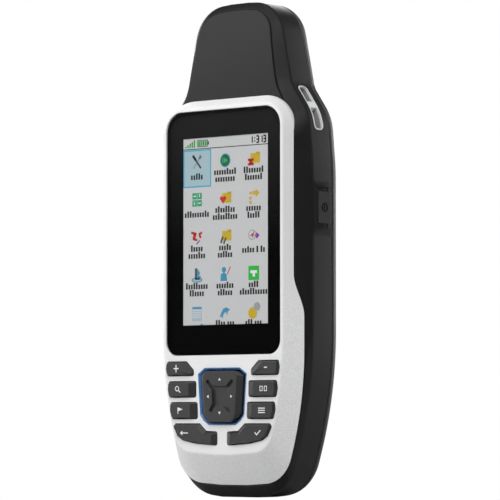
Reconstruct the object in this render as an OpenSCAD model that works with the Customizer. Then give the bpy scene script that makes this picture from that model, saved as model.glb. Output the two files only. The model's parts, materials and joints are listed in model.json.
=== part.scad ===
// Handheld satellite navigation unit with a keypad, a tall aerial housing and a sealed battery bay.
// Upright: +Z is up, the screen faces -Y, and the origin is on the flat foot of the case.

/* [Case] */
// Overall height of the case
case_h = 172; // [150:0.5:190]
// Half of the case's greatest width
case_half_w = 33.5; // [28:0.25:40]
// Depth from the screen's surface to the widest line of the case
shoulder_d = 7.3; // [5:0.1:10]
// Depth at which the front and rear halves meet
parting_d = 17.5; // [15:0.5:24]
// Depth of the flat rear face
rear_d = 27.5; // [25:0.5:30]
// Wall thickness of the moulded shells
wall = 2; // [1.2:0.1:3]
// Height of the aerial housing's narrow neck
neck_z = 142.2; // [136:0.2:148]
// Radius of the rounded aerial tip
tip_r = 13.7; // [8:0.1:16]

/* [Screen] */
// Width of the lit area of the display
display_w = 39.2; // [35:0.1:45]
// Height of the lit area of the display
display_h = 65.3; // [60:0.1:72]
// Height of the display's centre above the foot
display_z = 92.3; // [80:0.1:100]
// Half width of the black cover lens
lens_half_w = 26.25; // [22:0.05:28]
// Lower edge of the cover lens
lens_z0 = 49.2; // [45:0.1:55]
// Upper edge of the cover lens
lens_z1 = 134.2; // [128:0.1:138]
// How far the lens stands in front of the display
lens_d = 1.3; // [0.8:0.1:2]

/* [Keys] */
// How far the pale front face stands in front of the display
face_d = 1.6; // [1:0.1:2.5]
// How far each key stands proud of the face
key_proud = 1; // [0.4:0.1:2]
// Gap all round a key
key_gap = 0.3; // [0.2:0.05:0.6]
// Height of the rocker pad's centre
rocker_z = 34.8; // [32:0.1:38]
// How far the rocker stands proud of the face
rocker_proud = 1.4; // [0:0.1:2]

/* [Power key] */
// Lower end of the power key
power_z0 = 93.2; // [85:0.1:100]
// Upper end of the power key
power_z1 = 104.7; // [100:0.1:112]
// How far the power key stands off the side wall
power_proud = 0.9; // [0.4:0.1:2]

/* [Lanyard slot] */
// Height of the crossbar in the lanyard slot
bar_z = 134.4; // [130:0.1:138]
// Radius of the crossbar
bar_r = 1.1; // [0.8:0.1:1.6]
// Width of the slot, front to back
slot_w = 4.6; // [4.4:0.1:6]
// Length of the slot along the shoulder
slot_len = 17; // [14:0.5:20]
// Depth of the slot into the shoulder
slot_deep = 7.5; // [6:0.1:9]

/* [Battery bay] */
// Diameter of an AA cell
cell_d = 14.5; // [14:0.1:14.6]
// Length of an AA cell's can, without its button
cell_len = 49.4; // [48:0.1:50]
// Height of the cells' lower ends
cell_z = 23.5; // [20:0.1:30]
// Half width of the battery cover
cover_half_w = 17.5; // [17:0.1:19]
// Lower end of the battery cover
cover_z0 = 13.5; // [12:0.1:16]
// Upper end of the battery cover
cover_z1 = 83; // [78:0.1:88]
// Height of the cover lock
lock_z = 20; // [18:0.1:22]

/* [Rear fittings] */
// Half width of the mounting spine
spine_half_w = 11; // [9:0.1:12]
// Lower end of the mounting spine
spine_z0 = 104; // [102:0.5:110]
// Upper end of the mounting spine
spine_z1 = 130; // [125:0.5:131]
// Total depth behind the display of the spine's rear face
spine_d = 42.4; // [38:0.1:44]
// Height of the weather cap's hinge
cap_hinge_z = 86.6; // [85:0.1:90]

/* [Part] */
// Which piece to draw

/* [Hidden] */
$fn = 48;
screen_y = -13;                 // the display's surface in the part's frame
arc_n = 5;                      // steps in each rounded corner of the case
face_y = screen_y - face_d;
bevel_y = screen_y + 1.8;       // rear edge of the pale bezel beside the screen
wrap_y = screen_y + 4.6;        // rear edge of the pale bezel beside the keys
shoulder_y = screen_y + shoulder_d;
parting_y = screen_y + parting_d;
seal_t = 0.4;
gasket_t = 0.5;
rear_y = screen_y + rear_d;
cell_y = screen_y + 23.5;
cover_y = screen_y + 33;        // outer face of the battery cover
lock_y = cover_y + 0.15;
ring_y = lock_y + 2.1;          // the D-ring's pivot
plate_t = 1.8;                  // thickness of the bezel's front plate
membrane_y = screen_y + 2;
slot_x = 29.5;                  // half width of the shoulder at the crossbar
slot_d = 11.9;                  // depth of the slot's middle behind the display
pivot_y = screen_y + 1.3;       // the rocker's pivot
rocker_back_y = face_y + plate_t - 0.7;
board_y = screen_y + 5.7;
board_t = 1.4;
steel = [0.72, 0.72, 0.74];
dark = [0.2, 0.2, 0.21];
pale = [0.93, 0.94, 0.95];
key_grey = [0.3, 0.3, 0.31];

// ---- outlines: each corner is [half width, height, radius]; radius 0 is a plain point ----

function unit(v) = v / norm(v);

function corner(a, v, b, r) =
    let (u = unit(a - v), w = unit(b - v), half = acos(u * w) / 2,
        reach = r / tan(half), centre = v + unit(u + w) * r / sin(half),
        p = v + u * reach - centre, q = v + w * reach - centre,
        t0 = atan2(p.y, p.x), turn = atan2(p.x * q.y - p.y * q.x, p * q))
    [for (k = [0:arc_n]) centre + r * [cos(t0 + turn * k / arc_n), sin(t0 + turn * k / arc_n)]];

function flat(list) = [for (part = list) for (p = part) p];

function side(c) = flat([for (i = [0:len(c) - 1]) let (p = [c[i].x, c[i].y])
    c[i].z == 0 ? [p] : corner([c[i - 1].x, c[i - 1].y], p, [c[i + 1].x, c[i + 1].y], c[i].z)]);

function mirrored(half) = [for (i = [len(half) - 1:-1:0]) [-half[i].x, half[i].y]];

function loop(c) = let (half = side(c)) concat(half, mirrored(half));

function inset(outline, t) = let (n = len(outline))
    [for (i = [0:n - 1])
        let (d = unit(outline[(i + 1) % n] - outline[(i + n - 1) % n]))
        outline[i] + t * [-d.y, d.x]];

function at(outline, y) = [for (p = outline) [p.x, y, p.y]];

function smooth(t) = let (c = min(1, max(0, t))) c * c * (3 - 2 * c);

// The pale shell wraps further round the case beside the keys than beside the screen.
wrap_z0 = 62;
wrap_z1 = 76.5;
function wrapped(z) = 1 - smooth((z - wrap_z0) / (wrap_z1 - wrap_z0));
function bezel_y(z) = bevel_y + (wrap_y - bevel_y) * wrapped(z);
function bezel_ring(outline, dy = 0) = [for (p = outline) [p.x, bezel_y(p.y) + dy, p.y]];

// Points shared by every outline where the shell changes its wrap.
wrap_steps = [for (k = [0:4]) wrap_z0 + (wrap_z1 - wrap_z0) * k / 4];

face_outline = loop(concat(
    [[4, 14.7, 0], [21, 15.9, 9], [27.5, 40.3, 130]],
    [for (z = wrap_steps) [27.5, z, 0]],
    [[27.5, 135.4, 8.5], [4, 135.4, 0]]));
bezel_outline = loop(concat(
    [[6, 4.3, 0], [23.3, 5.4, 12.5], [31.8, 32.6, 120]],
    [for (z = wrap_steps) [29.5 + 2.3 * wrapped(z), z, 0]],
    [[29.5, 138.2, 13], [4, 138.2, 0]]));
foot = [[8, 0, 0], [22.7, 1.6, 16.3], [case_half_w, 35.7, 140]];
case_outline = loop(concat(foot,
    [for (z = wrap_steps) [case_half_w, z, 0]],
    [[case_half_w, 113, 100], [case_half_w - 1.6, neck_z - 11, 18], [24.1, neck_z, 8],
    [18, case_h - 1, tip_r], [4, case_h, 0]]));
front_outline = loop(concat(
    [[6, 4.3, 0], [23.3, 5.4, 12.5], [31.8, 32.6, 120]],
    [for (z = wrap_steps) [29.5 + 2.3 * wrapped(z), z, 0]],
    [[29.5, 113, 100], [29.2, 126.3, 20], [20.3, 141.6, 22],
    [15.4, 168.1, 9.7], [4, 169.3, 0]]));
window_outline = loop([[6, 7.6, 0], [21, 8.5, 10], [27.4, 33, 60], [26.6, 132, 5],
    [4, 132, 0]]);

// The case's front edge follows the bezel, then steps back up the leaning aerial face.
function front_y(z) = bezel_y(z) + 1.3 * smooth((z - 126) / 10)
    + 2.5 * pow(max(0, z - 140) / 29, 2.2);
function front_ring(outline, dy) = [for (p = outline) [p.x, front_y(p.y) + dy, p.y]];

// A closed solid through outlines that all have the same number of points.
module loft(rings) {
    n = len(rings[0]);
    m = len(rings);
    // Each side panel is two triangles, split the same way on the left as on the right.
    sides = [for (j = [0:m - 2]) for (i = [0:n - 1])
        let (k = (i + 1) % n, a = j * n + i, b = a + n, c = (j + 1) * n + k, d = j * n + k)
        for (t = i < n / 2 ? [[a, c, b], [a, d, c]] : [[a, d, b], [b, d, c]]) t];
    front = [for (i = [0:n / 2 - 2]) [n - 1 - i, n - 2 - i, i + 1, i]];
    rear = [for (f = front) [for (k = [3:-1:0]) f[k] + (m - 1) * n]];
    polyhedron(flat(rings), concat(sides, front, rear), convexity = 10);
}

// ---- small building blocks ----

// A plate from y0 to y1 with the given outline.
module plate(outline, y0, y1) {
    translate([0, y1, 0])
        rotate([90, 0, 0])
            linear_extrude(y1 - y0)
                polygon(outline);
}

// A rod along Y.
module rod_y(x, z, r, y0, y1) {
    translate([x, y0, z])
        rotate([-90, 0, 0])
            cylinder(r = r, h = y1 - y0);
}

// A rod along X.
module rod_x(y, z, r, x0, x1) {
    translate([x0, y, z])
        rotate([0, 90, 0])
            cylinder(r = r, h = x1 - x0);
}

module block(x0, x1, y0, y1, z0, z1) {
    translate([x0, y0, z0])
        cube([x1 - x0, y1 - y0, z1 - z0]);
}

// A rectangle with two upper and two lower corner radii, as outline points.
function tablet(w, z0, z1, r_low, r_top) = loop([[w - r_low - 1, z0, 0],
    [w, z0, r_low], [w, z1, r_top], [w - r_top - 1, z1, 0]]);

// A plate with rounded corners and chamfered rear edge, from y0 back to y1.
module pillow(half_w, z0, z1, y0, y1, r, taper) {
    hull() {
        for (x = [-1, 1], z = [z0 + r, z1 - r]) {
            rod_y(x * (half_w - r), z, r, y0, y1 - taper);
            rod_y(x * (half_w - r), z, r - taper, y0, y1);
        }
    }
}

// ---- front ----

// Outline of one right-hand key, from its inner lower corner anticlockwise.
function key_points(row) =
    row == 0 ? [[12.5, 42.1], [25.4, 42.1], [25.9, 44.6], [25.5, 47], [15.8, 47], [12.8, 44]] :
    row == 1 ? [[12.6, 34.7], [24.4, 34.7], [25, 37.3], [24.7, 40], [12.2, 40], [12.2, 36]] :
    row == 2 ? [[11.6, 27.2], [23.1, 27.2], [24, 30], [23.8, 32.7], [12.1, 32.7], [11.3, 29]] :
    [[2.4, 18.05], [12.8, 18.8], [18.3, 19.9], [20.1, 20.9], [21.9, 22.9], [22.3, 24.3],
        [21.8, 25.3], [10.3, 25.3], [7.35, 22.7], [2.4, 22.5]];

module key_shape(row, hand, grow = 0) {
    mirror([hand > 0 ? 0 : 1, 0])
        offset(r = 0.6 + grow, $fn = 16)
            offset(delta = -0.6)
                polygon(key_points(row));
}

// A prism along Y from a child outline in X and Z.
module prism_y(y0, y1) {
    translate([0, y1, 0])
        rotate([90, 0, 0])
            linear_extrude(y1 - y0)
                children();
}

module key(row, hand) {
    color(key_grey) {
        prism_y(face_y - key_proud, face_y - key_proud / 2)
            key_shape(row, hand, -0.4);
        prism_y(face_y - key_proud / 2, face_y + plate_t + 0.1)
            key_shape(row, hand);
        // the flange that holds the key in, kept clear of the bezel's side wall
        prism_y(face_y + plate_t + 0.1, face_y + plate_t + 1.1) {
            key_shape(row, hand);
            intersection() {
                key_shape(row, hand, 0.9);
                polygon(inset(face_outline, 2.5));
            }
        }
    }
}

module key_zoom_in() { key(0, -1); }
module key_zoom_out() { key(0, 1); }
module key_find() { key(1, -1); }
module key_page() { key(1, 1); }
module key_mark() { key(2, -1); }
module key_menu() { key(2, 1); }
module key_quit() { key(3, -1); }
module key_enter() { key(3, 1); }

ring_points = [[8.1, 44.7], [11.2, 42.6], [10.1, 28.4], [8.5, 26.5], [6.1, 24.95]];

module rocker_shape(grow) {
    offset(delta = grow)
        polygon(concat([for (i = [len(ring_points) - 1:-1:0]) ring_points[i]],
            [for (p = ring_points) [-p.x, p.y]]));
}

module rocker_ring() {
    color([0.16, 0.38, 0.72])
        prism_y(face_y - 0.15, face_y + plate_t)
            difference() {
                rocker_shape(0);
                rocker_shape(-0.7);
            }
}

module rocker_cap() {
    top_y = face_y - rocker_proud;
    color(key_grey)
        difference() {
            hull() {
                prism_y(top_y, top_y + 0.1)
                    rocker_shape(-3);
                prism_y(face_y + 0.5, rocker_back_y)
                    rocker_shape(-1.8);
            }
            // the crossed finger groove
            for (turn = [-42, 42]) {
                translate([0, top_y - 1, rocker_z])
                    rotate([0, turn, 0])
                        translate([-5.6, 0, -1.1])
                            cube([11.2, 1.5, 2.2]);
            }
        }
}

// The two ears under the rocker that turn on the pivot cross.
module rocker_ears() {
    color(key_grey)
        difference() {
            block(-1.2, 1.2, rocker_back_y, pivot_y + 0.65, rocker_z - 3.6, rocker_z + 3.6);
            block(-2, 2, pivot_y - 0.9, pivot_y + 1, rocker_z - 1.9, rocker_z + 1.9);
            translate([0, pivot_y, rocker_z - 6])
                cylinder(r = 0.5, h = 12);
        }
}

// The cross that lets the rocker tilt both ways.
module rocker_post() {
    color(steel) {
        translate([0, pivot_y, rocker_z - 3.6])
            cylinder(r = 0.45, h = 7.2);
        rod_x(pivot_y, rocker_z, 0.45, -3, 3);
    }
}

module front_bezel() {
    color(pale)
        difference() {
            union() {
                difference() {
                    loft([at(face_outline, face_y), bezel_ring(bezel_outline)]);
                    loft([at(inset(face_outline, plate_t), face_y + plate_t),
                        bezel_ring(inset(bezel_outline, wall), 0.5)]);
                }
                plate(tablet(lens_half_w + 0.8, lens_z0 - 0.8, lens_z1 + 0.4, 5, 7),
                    screen_y - 0.3, screen_y + 1);
            }
            plate(tablet(lens_half_w + 0.1, lens_z0 - 0.1, lens_z1 + 0.1, 5, 7),
                face_y - 1, screen_y);
            plate(tablet(23.2, 55.5, 129.2, 3, 3), face_y - 1, screen_y + 2);
            for (row = [0:3], hand = [-1, 1]) {
                prism_y(face_y - 1, face_y + plate_t + 2)
                    key_shape(row, hand, key_gap);
            }
            prism_y(face_y - 1, face_y + plate_t + 0.5)
                rocker_shape(0.02);
        }
}

module screen_lens() {
    color([0.05, 0.05, 0.06, 0.9])
        plate(tablet(lens_half_w, lens_z0, lens_z1, 5, 7), screen_y - lens_d, screen_y - 0.2);
}

module lens_gasket() {
    color([0.1, 0.1, 0.1])
        difference() {
            plate(tablet(lens_half_w - 0.3, lens_z0 + 0.3, lens_z1 - 0.3, 5, 7),
                screen_y - 0.2, screen_y);
            plate(tablet(23.2, 55.5, 129.2, 3, 3), screen_y - 1, screen_y + 1);
        }
}

module display_panel() {
    color([0.75, 0.8, 0.85])
        block(-display_w / 2 - 2, display_w / 2 + 2, screen_y, screen_y + 2.3,
            display_z - display_h / 2 - 2.5, display_z + display_h / 2 + 2.5);
}

module display_frame() {
    color(steel)
        difference() {
            block(-24, 24, screen_y + 2.3, screen_y + 3.5, 53, 131);
            block(-15, 15, screen_y + 2, screen_y + 4, 66, 118);
        }
}

// ---- case halves ----

// The lanyard slot follows the shoulder, leaning in as it rises.
function slot_dir() = unit([-8, 15.7]);

// Places its children at the lanyard bar: X points out of the shoulder, Z up along it.
module at_slot() {
    turn = -atan2(-slot_dir().x, slot_dir().y);
    translate([slot_x, screen_y + slot_d, bar_z])
        rotate([0, turn, 0])
            children();
}

// A rounded block that fills the slot's space, grown by g.
module slot_space(g, out = 6) {
    hull() {
        for (z = [-1, 1], x = [-slot_deep + 3, out]) {
            translate([x, -slot_w / 2 - g, z * (slot_len / 2 - 3)])
                rotate([-90, 0, 0])
                    cylinder(r = 3 + g, h = slot_w + 2 * g, $fn = 24);
        }
    }
}

// each boss: place, and how far out its rib meets the wall
boss_places = [[15, 152, 20.5], [27.45, 84, 32.3], [20.3, 15.5, 25.8]];
boss_rear = 4.1;                // how far a boss reaches behind the seal

// Six round bosses that taper towards their tips, each with a rib to the side wall.
module bosses(y0, y1, rib_y0, rib_y1) {
    for (p = boss_places, hand = [-1, 1]) {
        hull() {
            rod_y(hand * p.x, p.y, 3, y1 - 0.5, y1, $fn = 24);
            rod_y(hand * p.x, p.y, 2.6, y0, y0 + 0.5, $fn = 24);
        }
        block(min(hand * p.x, hand * p.z), max(hand * p.x, hand * p.z), rib_y0, rib_y1,
            p.y - 1, p.y + 1);
    }
}

// A screw-sized hole or rod at every boss.
module at_bosses(r, y0, y1) {
    for (p = boss_places, hand = [-1, 1]) {
        rod_y(hand * p.x, p.y, r, y0, y1);
    }
}

module front_case() {
    color(dark)
        difference() {
            union() {
                difference() {
                    loft([front_ring(front_outline, 0.05), at(case_outline, shoulder_y),
                        at(case_outline, parting_y)]);
                    loft([front_ring(inset(front_outline, wall), wall + 0.3),
                        at(inset(case_outline, wall), shoulder_y + 0.5),
                        at(inset(case_outline, wall), parting_y + 1)]);
                    plate(window_outline, face_y, shoulder_y + 0.7);
                }
                bosses(shoulder_y + 3, parting_y, shoulder_y + 3.1, parting_y - 0.1);
            }
            at_slot()
                slot_space(1.2);
            // hole for the power key
            block(case_half_w - 6, case_half_w + 2, screen_y + 9.4, screen_y + 16.3,
                power_z0 - 1.3, power_z1 + 1.3);
            at_bosses(1.1, shoulder_y + 5, parting_y + 1, $fn = 16);
        }
}

module back_shell() {
    y0 = parting_y + seal_t;
    color(dark)
        difference() {
            union() {
                difference() {
                    loft([at(case_outline, y0), at(inset(case_outline, 0.3), y0 + 1.6),
                        at(inset(case_outline, 1.2), y0 + 3.1),
                        at(inset(case_outline, 3.4), y0 + 5.1),
                        at(inset(case_outline, 6.3), y0 + 7.7), at(inset(case_outline, 9), rear_y)]);
                    loft([at(inset(case_outline, wall), y0 - 0.5),
                        at(inset(case_outline, wall + 0.6), y0 + 2.1),
                        at(inset(case_outline, wall + 3.2), y0 + 4.3),
                        at(inset(case_outline, wall + 6.2), y0 + 6.5),
                        at(inset(case_outline, wall + 8), rear_y - wall)]);
                }
                bosses(y0, y0 + boss_rear, y0 + 0.2, y0 + 1);
            }
            // battery bay
            hull() {
                for (x = [-1, 1], z = [17.4, 78.6]) {
                    rod_y(x * 16, z, 0.8, y0 - 1, rear_y + 1, $fn = 16);
                }
            }
            // sockets behind the weather cap
            hull() {
                for (x = [-1, 1], z = [89.9, 99.4]) {
                    rod_y(x * 3.7, z, 0.6, rear_y - 5, rear_y + 1, $fn = 16);
                }
            }
            at_bosses(2.2, y0 + boss_rear - 1, rear_y + 1, $fn = 20);
        }
}

module case_seal() {
    color([0.08, 0.08, 0.08])
        difference() {
            plate(inset(case_outline, 0.5), parting_y, parting_y + seal_t);
            plate(inset(case_outline, 1.7), parting_y - 1, parting_y + 1);
        }
}

// ---- keypad and boards ----

module keypad_membrane() {
    color([0.15, 0.15, 0.16])
        difference() {
            plate(loop([[8, 16.9, 0], [21, 17.6, 4], [25.2, 33, 40], [25.6, 48.2, 1.5],
                [20, 48.2, 0]]), membrane_y, membrane_y + 0.8);
            rod_y(0, rocker_z, 3.8, membrane_y - 1, membrane_y + 2);
        }
}

module dome_sheet() {
    color(steel)
        difference() {
            plate(loop([[8, 17.4, 0], [20.4, 18, 4], [24.6, 33, 40], [25, 47.8, 1.5],
                [20, 47.8, 0]]), membrane_y + 0.8, membrane_y + 1.1);
            rod_y(0, rocker_z, 3.8, membrane_y - 1, membrane_y + 2);
        }
}

// The small board under the keys, with the stem that carries the rocker's cross.
module key_board() {
    y0 = membrane_y + 1.1;
    color([0.1, 0.35, 0.2]) {
        plate(loop([[8, 16.9, 0], [21, 17.6, 4], [25.2, 33, 40], [25.6, 48.2, 1.5],
            [20, 48.2, 0]]), y0, y0 + 1);
        for (x = [-3.1, 1.9]) {
            difference() {
                block(x, x + 1.2, pivot_y - 0.95, y0, rocker_z - 1, rocker_z + 1);
                rod_x(pivot_y, rocker_z, 0.5, -5, 5);
            }
        }
    }
}

module main_board() {
    color([0.08, 0.32, 0.18])
        difference() {
            plate(loop([[10, 8.6, 0], [18, 9.4, 9], [26.6, 36, 40], [26.6, 114, 40],
                [16, 140, 12], [13, 143, 0]]), board_y, board_y + board_t);
            for (p = [[-24, 60], [24, 60], [-24, 112], [24, 112]]) {
                rod_y(p.x, p.y, 1.2, board_y - 1, board_y + 3);
            }
        }
}

module shield_can() {
    color(steel)
        block(-18, 14, board_y + board_t, board_y + board_t + 2.3, 96, 128);
}

module card_socket() {
    color([0.65, 0.65, 0.62])
        block(-8, 8, board_y + board_t, board_y + board_t + 1.9, 72, 88);
}

module beeper() {
    color([0.12, 0.12, 0.12])
        rod_y(-18, 84, 4.5, board_y + board_t, board_y + board_t + 2.5);
}

module board_screws() {
    color(steel)
        for (p = [[-24, 60], [24, 60], [-24, 112], [24, 112]]) {
            rod_y(p.x, p.y, 1.05, board_y - 1.6, board_y + board_t);
            rod_y(p.x, p.y, 2, board_y + board_t, board_y + board_t + 1.2);
        }
}

// ---- aerial ----

aerial_y0 = screen_y + 15.5;
aerial_z0 = 143;
aerial_len = 22;

module aerial_base() {
    color([0.75, 0.68, 0.5])
        block(-9, 9, board_y + board_t, aerial_y0 + 7, aerial_z0 - 3, aerial_z0);
}

module aerial_former() {
    color([0.9, 0.88, 0.8])
        translate([0, aerial_y0, aerial_z0])
            difference() {
                cylinder(r = 6, h = aerial_len);
                translate([0, 0, 1.5])
                    cylinder(r = 4.8, h = aerial_len);
            }
}

// Four copper strips wound half a turn round the former.
module aerial_helix() {
    color([0.75, 0.45, 0.2])
        translate([0, aerial_y0, aerial_z0])
            linear_extrude(aerial_len - 0.5, twist = -180, slices = 16, $fn = 4)
                for (a = [0:90:270]) {
                    rotate(a)
                        translate([6.3, 0])
                            square([0.4, 1.6], center = true);
                }
}

// ---- side ----

module power_key() {
    y0 = screen_y + 9.7;
    y1 = screen_y + 16;
    x = case_half_w;
    color(dark)
        difference() {
            union() {
                hull() {
                    block(x - 1.8, x, y0, y1, power_z0 - 1, power_z1 + 1);
                    block(x - 1.8, x + power_proud, y0 + 0.4, y1 - 0.4, power_z0, power_z1);
                }
                block(x - 3.2, x - 2.4, y0 - 0.9, y1 + 0.9, power_z0 - 1.9, power_z1 + 1.9);
                block(x - 2.5, x - 1.7, y0, y1, power_z0 - 1, power_z1 + 1);
            }
            // the moulded ring and bar symbol
            translate([x + power_proud - 0.2, (y0 + y1) / 2 - 0.55, (power_z0 + power_z1) / 2])
                rotate([0, 90, 0])
                    difference() {
                        cylinder(r = 1.5, h = 1);
                        cylinder(r = 1.1, h = 1);
                    }
        }
}

module power_switch() {
    color(steel)
        block(case_half_w - 5.8, case_half_w - 4, screen_y + 11, screen_y + 15, 96.5, 101.5);
}

module lanyard_anchor() {
    color([0.55, 0.56, 0.58])
        difference() {
            intersection() {
                at_slot()
                    slot_space(1.15);
                plate(inset(case_outline, 0.05), shoulder_y + 0.1, parting_y - 0.05);
            }
            at_slot()
                slot_space(0, 8);
        }
}

module lanyard_bar() {
    color(steel)
        at_slot()
            translate([-1.2, -slot_w / 2, 0])
                rotate([-90, 0, 0])
                    cylinder(r = bar_r, h = slot_w);
}

// ---- battery bay ----

cell_r = cell_d / 2;
cell_x = cell_r + 0.35;

module battery_tray() {
    y0 = cell_y - cell_r - 1.8;
    y1 = rear_y - 0.05;
    color([0.25, 0.25, 0.26])
        difference() {
            block(-16.6, 16.6, y0, y1, 17, 79);
            block(-15.3, 15.3, y0 + 1.5, y1 + 1, 18.3, 77.7);
        }
}

// The cells' conical seat springs, each closed into a cone on its plate.
module battery_springs() {
    color(steel)
        for (x = [-cell_x, cell_x]) {
            bottom = x < 0 ? 18.3 : 77.7;
            up = x < 0 ? 1 : -1;
            translate([x, cell_y, bottom]) {
                scale([1, 1, up]) {
                    translate([-5, -5, 0])
                        cube([10, 10, 0.4]);
                    translate([0, 0, 0.3])
                        difference() {
                            cylinder(r1 = 4.6, r2 = 2.8, h = 4.6);
                            translate([0, 0, 0.3])
                                cylinder(r1 = 3.8, r2 = 2, h = 4.6);
                        }
                }
            }
        }
}

module battery_contacts() {
    color([0.8, 0.75, 0.6])
        for (x = [-cell_x, cell_x]) {
            z = x < 0 ? 77.3 : 18.3;
            block(x - 4.5, x + 4.5, cell_y - 4, cell_y + 4, z, z + 0.4);
        }
}

// One AA cell; up = 1 has its button at the top.
module aa_cell(x, up) {
    z0 = up > 0 ? 23.55 : 72.45;
    color([0.1, 0.12, 0.14])
        translate([x, cell_y, z0])
            scale([1, 1, up]) {
                cylinder(r = cell_r - 0.3, h = 0.4);
                translate([0, 0, 0.4])
                    cylinder(r = cell_r, h = cell_len - 0.8);
                translate([0, 0, cell_len - 0.4])
                    cylinder(r = cell_r - 0.3, h = 0.4);
                translate([0, 0, cell_len])
                    cylinder(r = 2.75, h = 1.1);
            }
}

module aa_cell_left() { aa_cell(-cell_x, 1); }
module aa_cell_right() { aa_cell(cell_x, -1); }

module battery_cover() {
    y0 = rear_y + gasket_t + 0.05;
    color(dark)
        difference() {
            pillow(cover_half_w, cover_z0, cover_z1, y0, cover_y, 8, 1.6);
            pillow(cover_half_w - 1.9, cover_z0 + 1.9, cover_z1 - 1.9, y0 - 1, cover_y - 1.8, 6.1, 0.2);
            rod_y(0, lock_z, 3.05, y0, cover_y + 1);
        }
}

module cover_gasket() {
    color([0.5, 0.5, 0.52])
        difference() {
            pillow(cover_half_w - 0.3, cover_z0 + 0.3, cover_z1 - 0.3, rear_y, rear_y + gasket_t,
                7.7, 0.01);
            pillow(cover_half_w - 1.6, cover_z0 + 1.6, cover_z1 - 1.6, rear_y - 1, rear_y + 1,
                6.4, 0.01);
        }
}

// The turning lock: knob outside, shaft through the cover and cam inside.
module cover_lock() {
    cam_y0 = cover_y - 3.7;
    color(steel)
        difference() {
            union() {
                rod_y(0, lock_z, 5, lock_y, lock_y + 1.2);
                rod_y(0, lock_z, 3, cam_y0, lock_y + 0.1);
                block(-4, 4, cam_y0, cam_y0 + 1.7, lock_z - 1.5, lock_z + 1.5);
                for (x = [-3, 1.4]) {
                    block(x, x + 1.6, lock_y + 1, ring_y + 1.3, lock_z - 1.4, lock_z + 1.4);
                }
            }
            rod_x(ring_y, lock_z, 0.9, -5, 5);
        }
}

module lock_ring() {
    color(steel)
        translate([0, ring_y, lock_z]) {
            rotate([90, 0, 0])
                rotate_extrude(angle = 180)
                    translate([4.9, 0])
                        circle(r = 0.85, $fn = 32);
            rotate([0, 90, 0])
                translate([0, 0, -4.9])
                    cylinder(r = 0.85, h = 9.8);
            for (x = [-4.9, 4.9]) {
                translate([x, 0, 0])
                    sphere(r = 0.85);
            }
        }
}

// ---- rear fittings ----

module weather_cap() {
    y0 = rear_y + 0.3;
    color([0.12, 0.12, 0.12])
        difference() {
            union() {
                pillow(8.8, cap_hinge_z + 2, 101.8, y0, y0 + 2.2, 2, 0.6);
                rod_x(rear_y + 1.5, cap_hinge_z, 1.15, -5.5, 5.5);
                block(-5.5, 5.5, rear_y + 0.6, rear_y + 2.2, cap_hinge_z, cap_hinge_z + 2.5);
            }
            rod_x(rear_y + 1.5, cap_hinge_z, 0.75, -6, 6);
        }
}

// Two lugs on the rear face that hold the weather cap's pin.
module cap_lugs() {
    color(dark)
        difference() {
            for (x = [-7.4, 5.8]) {
                block(x, x + 1.6, rear_y, rear_y + 2.8, cap_hinge_z - 1.3, cap_hinge_z + 1.3);
            }
            rod_x(rear_y + 1.5, cap_hinge_z, 0.7, -8, 8);
        }
}

module cap_pin() {
    color(steel)
        rod_x(rear_y + 1.5, cap_hinge_z, 0.7, -7.4, 7.4);
}

module usb_socket() {
    color(steel)
        difference() {
            block(-4, 4, rear_y - 8, rear_y - 0.6, 89.5, 93.2);
            block(-3.4, 3.4, rear_y - 7, rear_y, 90.1, 92.6);
        }
}

module aerial_socket() {
    color([0.8, 0.65, 0.3])
        difference() {
            rod_y(0, 97.3, 2.3, rear_y - 8, rear_y - 0.6);
            rod_y(0, 97.3, 1.7, rear_y - 6, rear_y);
        }
}

module mounting_spine() {
    y1 = screen_y + spine_d;
    mid_z = (spine_z0 + spine_z1) / 2;
    color(dark)
        difference() {
            pillow(spine_half_w, spine_z0, spine_z1, rear_y, y1, 4, 1.2);
            // rails that a clip slides along
            for (x = [-spine_half_w - 0.1, spine_half_w - 1.9]) {
                block(x, x + 2, y1 - 6.5, y1 - 3.2, spine_z0 - 1, spine_z1 - 8);
            }
            rod_y(0, mid_z, 3.2, y1 - 9, y1 + 1);
        }
}

module spine_insert() {
    y1 = screen_y + spine_d;
    mid_z = (spine_z0 + spine_z1) / 2;
    color([0.8, 0.65, 0.3])
        difference() {
            rod_y(0, mid_z, 3.2, y1 - 9, y1 - 0.3);
            rod_y(0, mid_z, 1.65, y1 - 8, y1 + 1);
        }
}

module case_screws() {
    head_y = parting_y + seal_t + boss_rear - 1;
    color(steel) {
        at_bosses(1.05, parting_y - 5, head_y + 0.1);
        at_bosses(2.1, head_y, head_y + 1);
    }
}

front_bezel();
screen_lens();
lens_gasket();
display_panel();
display_frame();
front_case();
back_shell();
case_seal();
key_zoom_in();
key_zoom_out();
key_find();
key_page();
key_mark();
key_menu();
key_quit();
key_enter();
rocker_ring();
rocker_cap();
rocker_ears();
rocker_post();
keypad_membrane();
dome_sheet();
key_board();
main_board();
shield_can();
aerial_former();
aerial_helix();
aerial_base();
power_key();
power_switch();
lanyard_anchor();
lanyard_bar();
battery_tray();
battery_springs();
battery_contacts();
aa_cell_left();
aa_cell_right();
battery_cover();
cover_gasket();
cover_lock();
lock_ring();
weather_cap();
cap_lugs();
cap_pin();
usb_socket();
aerial_socket();
card_socket();
beeper();
mounting_spine();
spine_insert();
case_screws();
board_screws();
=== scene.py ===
import json
import math

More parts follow.
